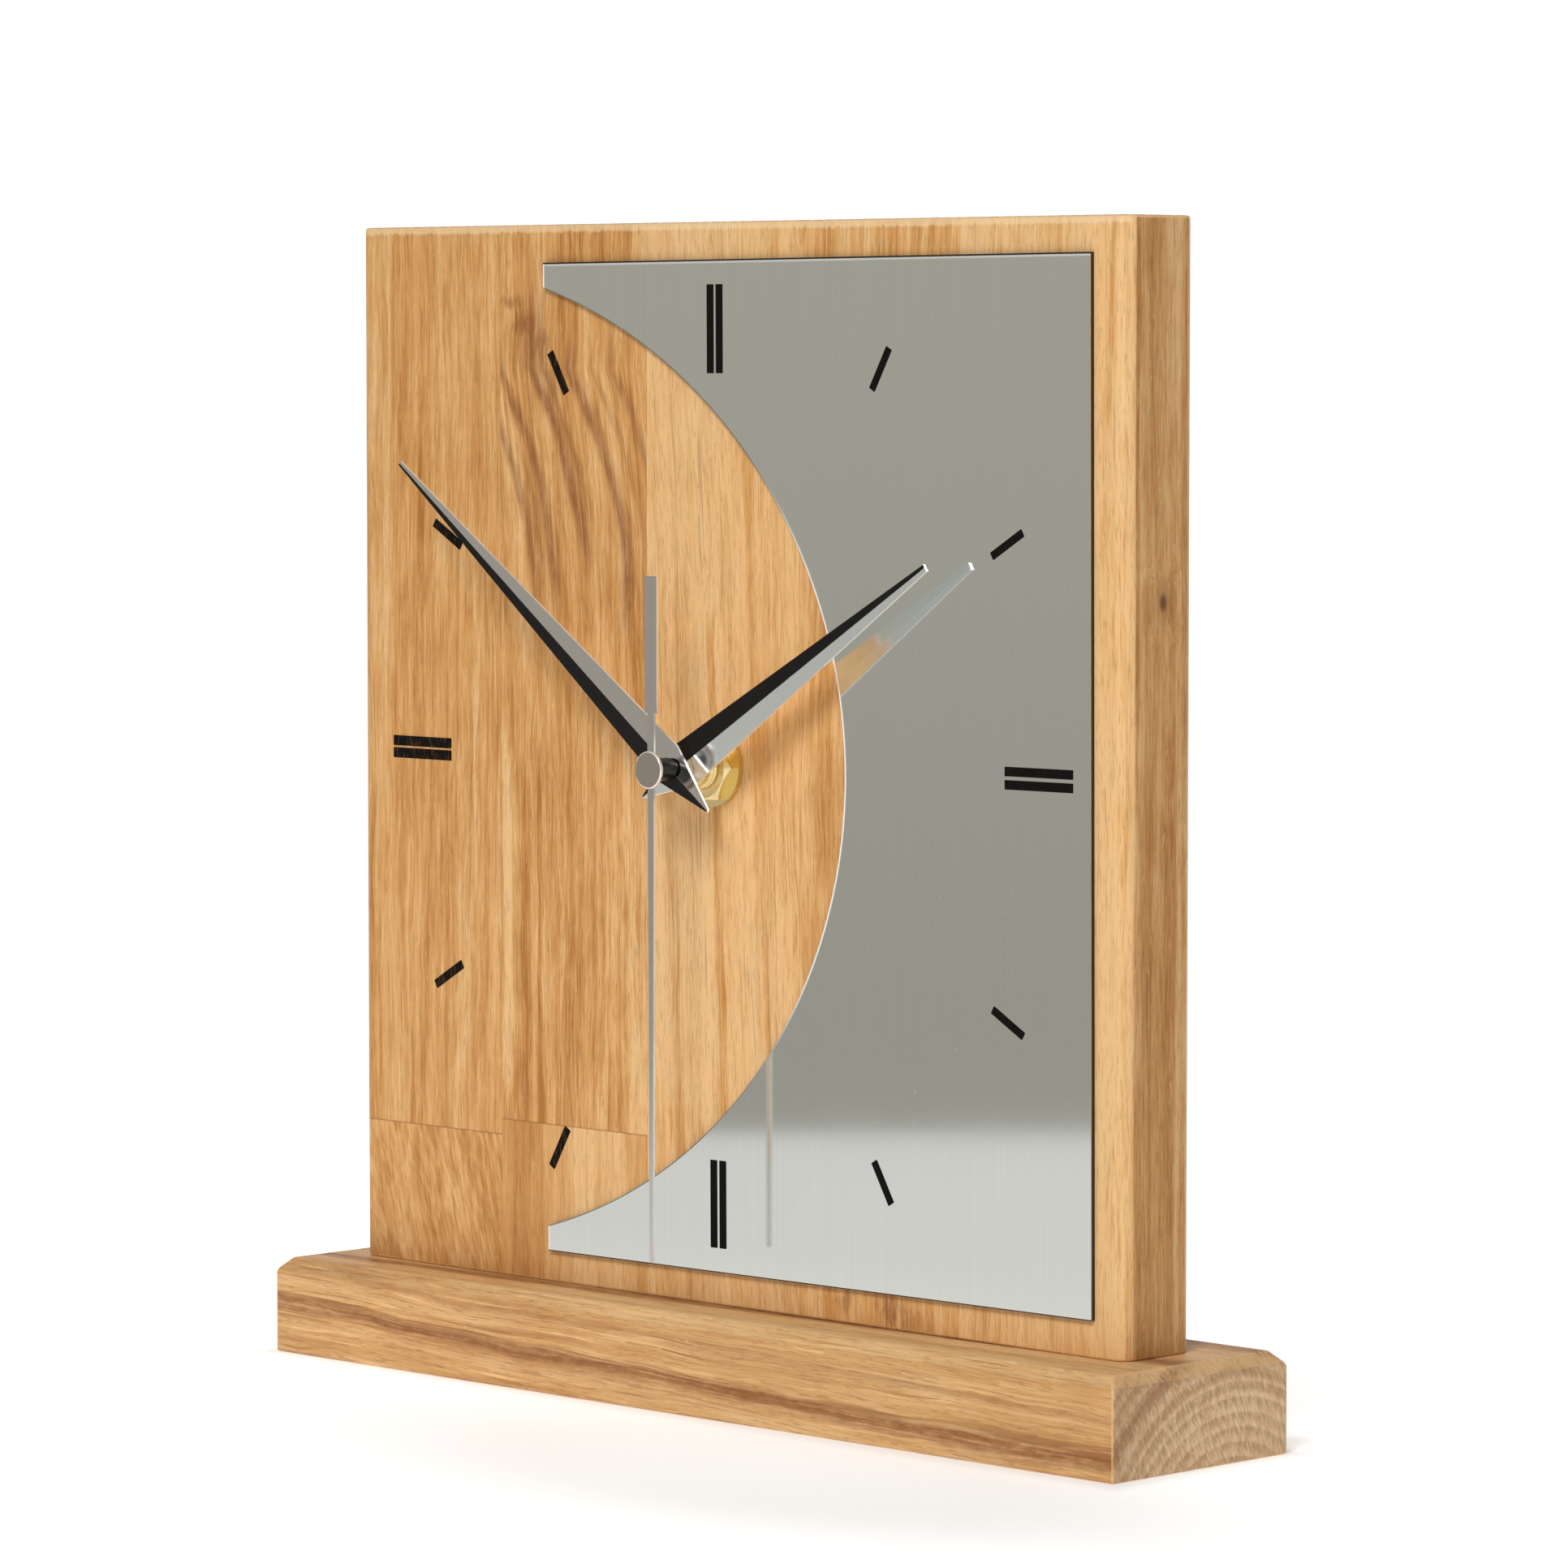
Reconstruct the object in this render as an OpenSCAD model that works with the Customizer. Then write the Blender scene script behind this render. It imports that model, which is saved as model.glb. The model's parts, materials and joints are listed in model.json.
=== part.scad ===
// Table clock: a square oak board on an oak base bar, a brushed face plate with an arc cut out of it,
// two-tone folded hands and a battery quartz movement in a pocket behind.
// +Z is up and the dial faces -Y. The origin is the middle of the base's underside.

/* [Board] */
// Width of the oak board
board_w = 200; // [180:1:260]
// Height of the oak board
board_h = 200; // [180:1:260]
// Thickness of the oak board
board_t = 18; // [15:0.5:25]
// Rounding of the board's four upright edges
board_edge_r = 3; // [1:0.5:5]
// Width of the three middle staves, the outer two take what is left
stave_w = 40; // [34:1:50]
// Height of the butt joint in the left stave, above the base
butt_1_z = 27; // [12:1:60]
// Height of the butt joint in the second stave, above the base
butt_2_z = 30; // [12:1:60]

/* [Base] */
// How far the base reaches past the board at each end
base_overhang = 10; // [4:0.5:30]
// Depth of the base from front to back
base_d = 46; // [36:1:80]
// Height of the base
base_h = 18.5; // [14:0.5:30]
// Chamfer along the four top edges of the base
base_chamfer = 2.4; // [0.5:0.1:5]
// Distance between the two screws that hold the board
screw_spacing = 80; // [60:1:110]
// Diameter of the base screws
screw_d = 4; // [3:0.1:5]
// Diameter of the countersunk screw heads
screw_head_d = 8; // [6.5:0.1:10]
// Length of screw in the board
screw_bite = 25; // [15:1:40]
// Width of the cross recess in the screw heads
recess_w = 1; // [0.6:0.1:1.4]
// Depth of the cross recess
recess_depth = 1.4; // [0.8:0.1:1.8]

/* [Face plate] */
// Reach of the plate to the left of the board's middle
plate_left = 46.5; // [36:0.5:60]
// Bare wood between the plate and the board's right edge
plate_side_margin = 7.5; // [5:0.5:15]
// Bare wood above and below the plate
plate_end_margin = 6.6; // [4:0.2:15]
// How far the plate sits below the board's middle
plate_drop = 0.3; // [0:0.1:2]
// Turn of the glued plate, anticlockwise
plate_turn = 0.3; // [-2:0.1:2]
// Half the width of the oval cut out of the plate
oval_half_w = 116.5; // [90:0.5:140]
// Half the height of that oval
oval_half_h = 93.6; // [80:0.1:94]
// Reach of the oval to the right of the board's middle
oval_reach = 32.5; // [16:0.1:50]
// Thickness of the plate's black core
core_t = 0.8; // [0.5:0.1:3]
// Thickness of the plate's brushed metal skin
skin_t = 0.2; // [0.1:0.05:0.5]

/* [Hour marks] */
// Inset of the marks' outer ends from the plate's edge
mark_inset = 3.65; // [2:0.05:8]
// Length of a single mark
mark_len = 8.6; // [5:0.1:12]
// Width of a single mark
mark_w = 1.5; // [0.8:0.1:3]
// Length of the double marks at 12, 3, 6 and 9
double_len = 16.3; // [10:0.1:22]
// Width of each bar of a double mark
double_bar_w = 1.7; // [1:0.1:3]
// Gap between the bars of a double mark
double_gap = 0.65; // [0.3:0.05:1.5]
// Thickness of the marks
mark_t = 0.08; // [0.05:0.01:0.2]
// Place of the middle of the marks on the plate, to the right of the plate's own middle
plate_ring_x = -0.5; // [-2:0.1:2]
// Place of the middle of the marks on the wood, to the right of the board's middle
wood_ring_x = -1.6; // [-4:0.1:2]
// How far the middle of the marks on the wood sits below the board's middle
wood_ring_drop = 1; // [0:0.1:2]
// How far the mark at 3 sits above the middle of its ring
three_rise = 1.1; // [0:0.1:2]
// How far the mark at 9 sits above the middle of its ring
nine_rise = 1; // [0:0.1:2]

/* [Time shown] */
// Angle of the hour hand, clockwise from 12
hour_angle = 57.7; // [0:0.1:359]
// Angle of the minute hand, clockwise from 12
minute_angle = 306.7; // [0:0.1:359]
// Angle of the second hand's needle, clockwise from 12
second_angle = 180; // [0:1:359]

/* [Hour and minute hands] */
// Reach of the hour hand from its axis
hour_len = 71.3; // [50:0.1:75]
// Tail of the hour hand behind its axis
hour_tail = 10.7; // [8:0.1:18]
// Reach of the minute hand from its axis
minute_len = 92; // [76:0.5:96]
// Tail of the minute hand behind its axis
minute_tail = 12.2; // [8:0.1:18]
// Greatest width of the hour hand
hour_w = 8.7; // [7:0.1:11]
// Greatest width of the minute hand
minute_w = 8.3; // [7:0.1:11]
// Place of the greatest width, ahead of the axis
hand_shoulder = 1.5; // [0:0.1:4]
// Width of the hour hand at its tip
hour_tip_w = 1.4; // [0.4:0.1:2]
// Width of the minute hand at its tip
minute_tip_w = 0.9; // [0.4:0.1:2]
// Width of both hands at the tail
hand_tail_w = 0.5; // [0.3:0.1:2]
// Slope of each half from the folded ridge
hand_fold = 8; // [4:1:24]
// Lean of the hour hand towards the plate, from its axis to its tip
hour_lean = 1.8; // [0:0.1:3]
// Thickness of the hands' sheet
hand_t = 0.45; // [0.3:0.05:0.7]
// Diameter of the hour hand's collar
hour_collar_d = 6.6; // [6:0.1:7.5]
// Diameter of the minute hand's collar
minute_collar_d = 5; // [4.6:0.1:6.4]

/* [Second hand] */
// Reach of the needle from the axis
needle_len = 90.5; // [70:0.5:96]
// Width of the needle at the axis
needle_root_w = 1.6; // [1.2:0.1:3]
// Width of the needle at its tip
needle_tip_w = 0.9; // [0.5:0.1:1.3]
// Reach of the narrow neck on the other side
neck_len = 10.4; // [6:0.1:14]
// Width of the neck
neck_w = 1.7; // [1.4:0.1:3]
// Length of the counterweight bar
weight_len = 25; // [15:0.5:35]
// Width of the counterweight bar
weight_w = 3.1; // [2.4:0.1:6]
// Diameter of the disc at the axis
second_disc_d = 5; // [4:0.1:6]
// Thickness of the second hand
second_t = 0.4; // [0.2:0.05:0.6]
// Diameter of the post behind the second hand
post_d = 4.2; // [3.6:0.1:5]
// Diameter of the cap in front of it
cap_d = 6.9; // [6:0.1:9]
// Thickness of the cap
cap_t = 0.8; // [0.8:0.1:2]
// Rounding of the cap's rim
cap_round = 0.3; // [0.1:0.05:0.35]

/* [Hub] */
// Place of the hands' axis, to the right of the board's middle
axis_x = -2; // [-10:0.5:10]
// Diameter of the washer on the wood
washer_d = 15; // [13.9:0.1:18]
// Thickness of the washer
washer_t = 1.2; // [0.5:0.1:2]
// Width of the hexagon nut across its flats
nut_af = 12; // [10.5:0.5:12]
// Thickness of the nut
nut_t = 2.2; // [1.5:0.1:3.5]
// Height of the bevel round the nut's front
nut_bevel_h = 0.9; // [0.5:0.1:1.2]
// How far inside the flats the bevel ends
nut_bevel_in = 0.2; // [0.1:0.1:0.5]
// Diameter of the threaded bushing
bush_d = 8; // [7.6:0.1:9]
// Reach of the bushing past the nut
bush_proud = 1.2; // [0.6:0.1:2]
// Pitch of the bushing's thread
thread_pitch = 0.75; // [0.5:0.05:1]
// Depth of the bushing's thread
thread_depth = 0.35; // [0.2:0.05:0.45]
// Height of the hour hand's ridge over the bushing
hour_rise = 4.8; // [2.4:0.1:5.5]
// Height of the minute hand's ridge over the hour hand's
minute_rise = 2.2; // [2:0.1:7]
// Height of the second hand over the minute hand's ridge
second_rise = 4.8; // [3:0.1:6]

/* [Shafts] */
// Diameter of the hour pipe
hour_pipe_d = 5; // [4.6:0.05:5.2]
// Diameter of the minute pipe
minute_pipe_d = 3.5; // [3.2:0.05:3.8]
// Diameter of the minute cannon's shank behind its pinion
shank_d = 2.6; // [2.2:0.1:2.6]
// Diameter of the shoulder between the cannon's pinion and the drive wheel
shoulder_d = 4.6; // [4.4:0.1:6]
// Diameter of the second hand's arbor
second_arbor_d = 1; // [0.8:0.05:1.3]
// Diameter of the other arbors
arbor_d = 0.9; // [0.7:0.05:1.1]
// Diameter of the post that the motion wheel turns on
motion_post_d = 1.2; // [1:0.05:1.3]
// Diameter of the setting shaft
set_shaft_d = 2; // [1.6:0.1:2.4]
// Depth of the arbors' ends in the case and its cover
pivot_depth = 0.9; // [0.6:0.05:1]
// Running clearance all round a shaft
run_gap = 0.08; // [0.05:0.01:0.1]
// Clearance all round a piece that is pressed on
press_gap = 0.01; // [0.01:0.01:0.03]

/* [Movement case] */
// Front wood left in front of the pocket
web_t = 3; // [2:0.1:5]
// Room all round the movement in its pocket
pocket_gap = 2; // [1:0.1:4]
// Corner radius of the pocket
pocket_r = 4; // [3:0.5:8]
// Room all round the bushing in the wood
hole_gap = 0.3; // [0.1:0.1:0.6]
// Thickness of the rubber gasket
gasket_t = 0.8; // [0.5:0.1:1.5]
// Diameter of the rubber gasket
gasket_d = 20; // [16:0.5:26]
// Wall of the movement case and its cover
wall = 1.5; // [1.2:0.1:2]
// Wall between the wheels and the battery
partition_t = 1.2; // [1:0.1:2]
// Front wall of the battery bay
bay_wall = 1; // [0.8:0.1:1.5]
// Thickness of the bushing's flange inside the case
flange_t = 0.8; // [0.6:0.1:1.2]
// Width of the bushing's flange round the bushing
flange_rim = 1.5; // [1:0.1:2]
// Corner radius of the movement case
case_r = 3; // [2:0.5:4]
// Room above the hands' axis inside the case
room_above = 26.5; // [26:0.5:32]
// Room below the hands' axis, down to the battery bay
room_below = 10.3; // [9:0.1:13]
// Free depth behind the last wheel
room_behind = 2.8; // [1.5:0.1:4]
// Depth of the cover's lip in the case
lip_depth = 1.2; // [0.8:0.1:1.5]
// Width of the cover's lip
lip_w = 1; // [0.6:0.1:1.2]
// Clearance round the cover's lip
lip_gap = 0.1; // [0.05:0.05:0.2]

/* [Battery] */
// Diameter of the battery
battery_d = 14.2; // [13.5:0.1:14.8]
// Length of the battery with its nub
battery_len = 50.5; // [49.5:0.1:54]
// Diameter of the nub
nub_d = 5.5; // [4:0.1:6]
// Length of the nub
nub_len = 1.2; // [0.8:0.1:2]
// Bevel round the battery's ends
battery_edge = 0.6; // [0.3:0.1:1]
// Room all round the battery in its bay
battery_gap = 0.4; // [0.2:0.05:0.8]
// Room for a contact at each end of the battery
contact_room = 1.25; // [1:0.05:2.5]
// Thickness of the contact sheet
contact_t = 0.3; // [0.2:0.05:0.5]
// Width and height of the contact plates
contact_w = 10; // [9:0.5:13]
// Gap between the battery and its contacts
contact_gap = 0.1; // [0.05:0.05:0.3]

/* [Gear train] */
// Module of the second hand's pinion and the third wheel
third_module = 0.25; // [0.245:0.005:0.26]
// Module of the cannon pinion and the motion wheel
motion_module = 0.3; // [0.28:0.01:0.32]
// Module of the idler pinion and the second wheel
idler_module = 0.25; // [0.245:0.005:0.26]
// Module of the rotor pinion and the idler wheel
rotor_module = 0.2; // [0.18:0.01:0.22]
// Thickness of every wheel
wheel_t = 1; // [0.7:0.1:1.2]
// Free depth between neighbouring wheels
layer_gap = 0.6; // [0.4:0.1:1]
// Thickness of the clutch spring
clutch_t = 0.4; // [0.2:0.1:0.6]
// Diameter of the clutch spring
clutch_d = 6.4; // [5:0.1:7.5]
// Diameter of the setting knob
knob_d = 11; // [9:0.5:14]
// Height of the setting knob
knob_h = 3.5; // [2.5:0.1:5]
// Space between the knob and the cover
knob_gap = 0.3; // [0.2:0.1:0.8]
// Number of grooves round the knob
knob_grips = 18; // [12:1:24]
// Diameter of the knob's grooves
grip_d = 0.9; // [0.6:0.1:1.2]

/* [Motor] */
// Diameter of the rotor's magnet
magnet_d = 6; // [5:0.1:6.6]
// Length of the rotor's magnet
magnet_len = 3.4; // [2.5:0.1:4]
// Air gap round the magnet
air_gap = 0.7; // [0.4:0.05:0.8]
// Thickness of the stator plate
stator_t = 0.8; // [0.6:0.1:1.2]
// Width of the stator's legs under the core's ends
leg_w = 4; // [3:0.1:5]
// Width of stator left below the rotor
stator_rim = 0.7; // [0.4:0.1:1]
// Free depth between the magnet and the idler wheel
magnet_room = 1.4; // [0.8:0.1:2]
// Height of the coil's axis over the rotor
coil_rise = 8.4; // [8.2:0.1:8.8]
// Outer diameter of the winding
coil_d = 6.8; // [5.6:0.1:7]
// Length of the bobbin
coil_len = 18; // [14:0.5:20]
// Thickness of the coil core
core_bar_t = 1.2; // [0.8:0.1:1.6]
// Width of the coil core
core_bar_w = 2.4; // [1.6:0.1:2.6]
// Wall of the bobbin and its flanges
bobbin_wall = 0.7; // [0.4:0.1:0.8]

/* [Circuit] */
// Width of the circuit board
pcb_w = 14; // [11:0.5:15]
// Height of the circuit board
pcb_h = 15; // [13:0.5:16]
// Thickness of the circuit board
pcb_t = 1; // [0.6:0.1:1.6]
// Height of the circuit board over the case's front wall
pcb_rise = 8; // [6:0.1:8.5]
// Space between the circuit board and the case's walls
pcb_gap = 1; // [0.5:0.1:1.5]
// Diameter of the posts under the circuit board and stator
post_boss_d = 3; // [2:0.1:3.6]
// Diameter of the chip's cover
chip_d = 5; // [4:0.1:6]
// Height of the chip's cover
chip_h = 0.9; // [0.5:0.1:1.3]
// Diameter of the quartz crystal's can
crystal_d = 2; // [1.5:0.1:2.2]
// Length of the quartz crystal's can
crystal_len = 6; // [5:0.1:8]

/* [Hidden] */
$fn = 72;
eps = 0.01;

// Levels from front to back
front_y = -board_t / 2;
back_y = board_t / 2;
dial_z = base_h + board_h / 2;
core_y = front_y - core_t;
skin_y = core_y - skin_t;
washer_y = front_y - washer_t;
nut_y = washer_y - nut_t;
bush_y = nut_y - bush_proud;
hour_y = bush_y - hour_rise;
minute_y = hour_y - minute_rise;
second_y = minute_y - second_rise;
pocket_y = front_y + web_t;
case_y = pocket_y + gasket_t;
inside_y = case_y + wall;

// Wheel layers, from the front wall back
hour_wheel_y = inside_y + flange_t + layer_gap / 2;
motion_wheel_y = hour_wheel_y + wheel_t + layer_gap;
drive_wheel_y = motion_wheel_y + wheel_t + layer_gap;
clutch_y = drive_wheel_y + wheel_t + run_gap;
cannon_end_y = clutch_y + clutch_t;
third_wheel_y = cannon_end_y + layer_gap;
second_wheel_y = third_wheel_y + wheel_t + layer_gap;
idler_wheel_y = second_wheel_y + wheel_t + layer_gap;
train_end_y = idler_wheel_y + wheel_t;
cover_y = train_end_y + room_behind;
case_back_y = cover_y + wall;
pinion_over = layer_gap / 4;
pivot_front_y = inside_y - pivot_depth;
pivot_back_y = cover_y + pivot_depth;
knob_y = case_back_y + knob_gap;

// Board seams
seam_1 = -1.5 * stave_w;
seam_2 = -0.5 * stave_w;
seam_3 = 0.5 * stave_w;
seam_4 = 1.5 * stave_w;

// Case outline, about the hands' axis
bay_len = battery_len + 2 * contact_room;
bay_top = -room_below - partition_t;
bay_bottom = bay_top - battery_d - 2 * battery_gap;
case_w = bay_len + 2 * wall;
case_top = room_above + wall;
case_bottom = bay_bottom - wall;
case_h = case_top - case_bottom;
case_mid = (case_top + case_bottom) / 2;
battery_z = (bay_top + bay_bottom) / 2;
battery_y = case_y + bay_wall + battery_gap + battery_d / 2;
battery_tip_x = bay_len / 2 - contact_t - contact_gap;
battery_end_x = battery_tip_x - battery_len;

// Face plate and dial
oval_sides = 240;
plate_right = board_w / 2 - plate_side_margin;
plate_half_h = board_h / 2 - plate_end_margin;
dial_r = min(plate_right, plate_half_h) - mark_inset;

// Tooth counts: the second hand turns 60 times for the minute wheel's one,
// the minute hand 12 times for the hour wheel's one, and the rotor 30 times for the second hand's one
second_pinion_n = 8;
third_wheel_n = 60;
third_pinion_n = 8;
drive_wheel_n = 64;
cannon_n = 12;
motion_wheel_n = 36;
motion_pinion_n = 10;
hour_wheel_n = 40;
set_pinion_n = 12;
second_wheel_n = 60;
idler_pinion_n = 10;
idler_wheel_n = 50;
rotor_pinion_n = 10;

// Centre distances, and the modules of the wheels that share them
third_a = third_module * (second_pinion_n + third_wheel_n) / 2;
drive_module = 2 * third_a / (third_pinion_n + drive_wheel_n);
motion_a = motion_module * (cannon_n + motion_wheel_n) / 2;
hour_module = 2 * motion_a / (motion_pinion_n + hour_wheel_n);
set_a = motion_module * (motion_wheel_n + set_pinion_n) / 2;
idler_a = idler_module * (idler_pinion_n + second_wheel_n) / 2;
rotor_a = rotor_module * (rotor_pinion_n + idler_wheel_n) / 2;

// Directions of the arbors, and their places about the hands' axis as [x, z]
third_dir = 180;
motion_dir = 0;
set_dir = -10;
idler_dir = 60;
rotor_dir = 90;
hands_at = [0, 0];
third_at = polar(third_a, third_dir);
motion_at = polar(motion_a, motion_dir);
set_at = motion_at + polar(set_a, set_dir);
idler_at = polar(idler_a, idler_dir);
rotor_at = idler_at + polar(rotor_a, rotor_dir);

// Tooth shape, in modules, and the share of half a pitch that a tooth fills
pressure = 20;
addendum = 0.8;
dedendum = 1.05;
tooth_fill = 0.76;
small_gear_n = 20;

// Tooth phases, each tooth in a gap of its neighbour
third_wheel_phase = mesh_phase(third_dir, third_dir, second_pinion_n, third_wheel_n);
third_pinion_phase = mesh_phase(third_dir, third_dir, drive_wheel_n, third_pinion_n);
motion_phase = mesh_phase(motion_dir, motion_dir, cannon_n, motion_wheel_n);
motion_pinion_phase = mesh_phase(motion_dir, motion_dir, hour_wheel_n, motion_pinion_n);
set_phase = mesh_phase(set_dir, motion_phase, motion_wheel_n, set_pinion_n);
idler_pinion_phase = mesh_phase(idler_dir, idler_dir, second_wheel_n, idler_pinion_n);
rotor_phase = mesh_phase(rotor_dir, rotor_dir, idler_wheel_n, rotor_pinion_n);

// Motor and circuit places
magnet_end_y = idler_wheel_y - magnet_room;
stator_end_y = magnet_end_y - (magnet_len - stator_t) / 2;
stator_y = stator_end_y - stator_t;
stator_half_w = coil_len / 2 + leg_w;
rotor_hole_d = magnet_d + 2 * air_gap;
coil_at = rotor_at + [0, coil_rise];
coil_y = stator_end_y + core_bar_t / 2;
bobbin_half = coil_len / 2 - lip_gap;
bobbin_tube_d = norm([core_bar_t, core_bar_w]) + 2 * bobbin_wall;
pcb_x = -bay_len / 2 + pcb_gap;
pcb_z = room_above - pcb_gap - pcb_h;
pcb_y = inside_y + pcb_rise;
pcb_end_y = pcb_y + pcb_t;

// Posts that the circuit board and the stator stand on, as [x, z]
pcb_post_x = pcb_x + post_boss_d;
pcb_posts = [[pcb_post_x, pcb_z + post_boss_d], [pcb_post_x, pcb_z + pcb_h - post_boss_d]];
stator_posts = [for (s = [-1, 1]) rotor_at + [s * (stator_half_w - leg_w / 2), 0]];

// Point at radius r and angle a
function polar(r, a) = [r * cos(a), r * sin(a)];

// Involute of an angle in degrees
function involute(a) = tan(a) * 180 / PI - a;

// Half the angle that a tooth fills at radius q
function tooth_half(n, m, q) =
    let (base_r = m * n / 2 * cos(pressure), at = q > base_r ? acos(base_r / q) : 0)
    90 / n * tooth_fill + involute(pressure) - involute(at);

// Radii at which a tooth's flank has a point, more on a small pinion
function flank_radii(n, m) =
    let (r = m * n / 2, low = r - dedendum * m, high = r + addendum * m)
    n < small_gear_n ? [low, (low + r) / 2, r, high] : [low, high];

// Outline of a gear with n teeth, one of them at the angle phase
function gear_points(n, m, phase) =
    let (radii = flank_radii(n, m), last = len(radii) - 1)
    [for (i = [0 : n - 1]) let (mid = phase + 360 * i / n)
        each concat(
            [for (k = [0 : last]) polar(radii[k], mid - tooth_half(n, m, radii[k]))],
            [for (k = [last : -1 : 0]) polar(radii[k], mid + tooth_half(n, m, radii[k]))])];

// Phase of a gear with n2 teeth that meshes with one of n1 teeth and phase p1, in the direction dir
function mesh_phase(dir, p1, n1, n2) = dir + 180 - (p1 - dir) * n1 / n2 + 180 / n2;

// Points round the oval cut out of the plate
function oval_points() =
    [for (i = [0 : oval_sides - 1]) let (a = 360 * i / oval_sides) [oval_half_w * cos(a), oval_half_h * sin(a)]];

// Child shape drawn in x and z, made solid from y0 back to y1
module slab(y0, y1) {
    translate([0, y1, 0]) rotate([90, 0, 0]) linear_extrude(y1 - y0) children();
}

// Round rod along Y at [x, z]
module rod(at, d, y0, y1) {
    translate([at[0], y1, at[1]]) rotate([90, 0, 0]) cylinder(d = d, h = y1 - y0);
}

// Rectangle with round corners, centred
module rounded_rect(w, h, r) {
    square([w - 2 * r, h], center = true);
    square([w, h - 2 * r], center = true);
    for (sx = [-1, 1], sy = [-1, 1]) translate([sx * (w / 2 - r), sy * (h / 2 - r)]) circle(r);
}

// Puts its child at the board's middle
module at_middle() {
    translate([0, 0, dial_z]) children();
}

// Puts its child at the hands' axis
module at_dial() {
    translate([axis_x, 0, dial_z]) children();
}

// Toothed disc at [x, z]
module gear(at, n, m, phase, y0, y1) {
    translate([at[0], 0, at[1]]) slab(y0, y1) polygon(gear_points(n, m, phase));
}

// Base bar and its screws

module screw_places() {
    for (s = [-1, 1]) translate([s * screw_spacing / 2, 0, 0]) children();
}

// One countersunk screw standing on its head, larger all round by grow
module screw_form(grow) {
    head_h = (screw_head_d - screw_d) / 2;
    tip_h = screw_d;
    shank_top = base_h + screw_bite - tip_h;
    cylinder(d1 = screw_head_d + 2 * grow, d2 = screw_d + 2 * grow, h = head_h);
    cylinder(d = screw_d + 2 * grow, h = shank_top);
    translate([0, 0, shank_top]) cylinder(d1 = screw_d + 2 * grow, d2 = screw_d / 4, h = tip_h + grow);
}

module base_bar() {
    w = board_w + 2 * base_overhang;
    c = base_chamfer;
    color("burlywood") difference() {
        intersection() {
            translate([-w / 2, 0, 0]) rotate([90, 0, 90]) linear_extrude(w)
                polygon([[-base_d / 2, 0], [base_d / 2, 0], [base_d / 2, base_h - c],
                    [base_d / 2 - c, base_h], [-base_d / 2 + c, base_h], [-base_d / 2, base_h - c]]);
            slab(-base_d / 2, base_d / 2)
                polygon([[-w / 2, 0], [w / 2, 0], [w / 2, base_h - c],
                    [w / 2 - c, base_h], [-w / 2 + c, base_h], [-w / 2, base_h - c]]);
        }
        screw_places() screw_form(run_gap);
    }
}

module base_screws() {
    color("goldenrod") screw_places() difference() {
        screw_form(0);
        for (a = [0, 90]) rotate([0, 0, a])
            translate([-screw_d / 2, -recess_w / 2, -eps]) cube([screw_d, recess_w, recess_depth + eps]);
    }
}

// Board of five glued staves

module board_body() {
    pocket_w = case_w + 2 * pocket_gap;
    pocket_h = case_h + 2 * pocket_gap;
    difference() {
        translate([0, 0, base_h]) linear_extrude(board_h) rounded_rect(board_w, board_t, board_edge_r);
        at_dial() {
            slab(pocket_y, back_y + 1) translate([0, case_mid]) rounded_rect(pocket_w, pocket_h, pocket_r);
            rod(hands_at, bush_d + 2 * hole_gap, front_y - 1, pocket_y + 1);
        }
        screw_places() screw_form(run_gap);
    }
}

// Part of the board between two seams and two heights above the base
module stave(x0, x1, z0, z1) {
    color("peru") intersection() {
        board_body();
        translate([x0, -board_t, base_h + z0]) cube([x1 - x0, 2 * board_t, z1 - z0]);
    }
}

module stave_1_lower() stave(-board_w / 2, seam_1, 0, butt_1_z);
module stave_1_upper() stave(-board_w / 2, seam_1, butt_1_z, board_h);
module stave_2_lower() stave(seam_1, seam_2, 0, butt_2_z);
module stave_2_upper() stave(seam_1, seam_2, butt_2_z, board_h);
module stave_3() stave(seam_2, seam_3, 0, board_h);
module stave_4() stave(seam_3, seam_4, 0, board_h);
module stave_5() stave(seam_4, board_w / 2, 0, board_h);

// Face plate and hour marks

module plate_outline() {
    difference() {
        translate([-plate_left, -plate_half_h]) square([plate_left + plate_right, 2 * plate_half_h]);
        translate([oval_reach - oval_half_w, 0]) polygon(oval_points());
    }
}

// Puts its child where the plate is glued on
module on_plate() {
    translate([0, -plate_drop]) rotate(plate_turn) children();
}

module plate_core() {
    color("black") at_middle() slab(core_y, front_y) on_plate() plate_outline();
}

module plate_skin() {
    color("silver") at_middle() slab(skin_y, core_y) on_plate() plate_outline();
}

// One bar whose outer end lies on the dial's radius, moved sideways by shift
module bar(w, length, shift) {
    translate([shift - w / 2, dial_r - length]) square([w, length]);
}

// Marks of the hours from first to last, 0 standing for 12
module hour_bars(first, last) {
    shift = (double_bar_w + double_gap) / 2;
    for (h = [first : last]) translate([0, h == 3 ? three_rise : h == 9 ? nine_rise : 0]) rotate(-30 * h) {
        if (h % 3 == 0) {
            bar(double_bar_w, double_len, -shift);
            bar(double_bar_w, double_len, shift);
        } else {
            bar(mark_w, mark_len, 0);
        }
    }
}

module plate_marks() {
    color("black") at_middle() slab(skin_y - mark_t, skin_y) on_plate() intersection() {
        translate([plate_ring_x, 0]) hour_bars(0, 6);
        plate_outline();
    }
}

module wood_marks() {
    color("black") at_middle() slab(front_y - mark_t, front_y) difference() {
        translate([wood_ring_x, -wood_ring_drop]) hour_bars(7, 11);
        on_plate() plate_outline();
    }
}

// Movement case and the parts that clamp it to the board

module case_outline() {
    translate([0, case_mid]) rounded_rect(case_w, case_h, case_r);
}

// Everything in the plane at or above the height z
module above(z) {
    translate([-case_w, z]) square([2 * case_w, 2 * case_h]);
}

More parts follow.
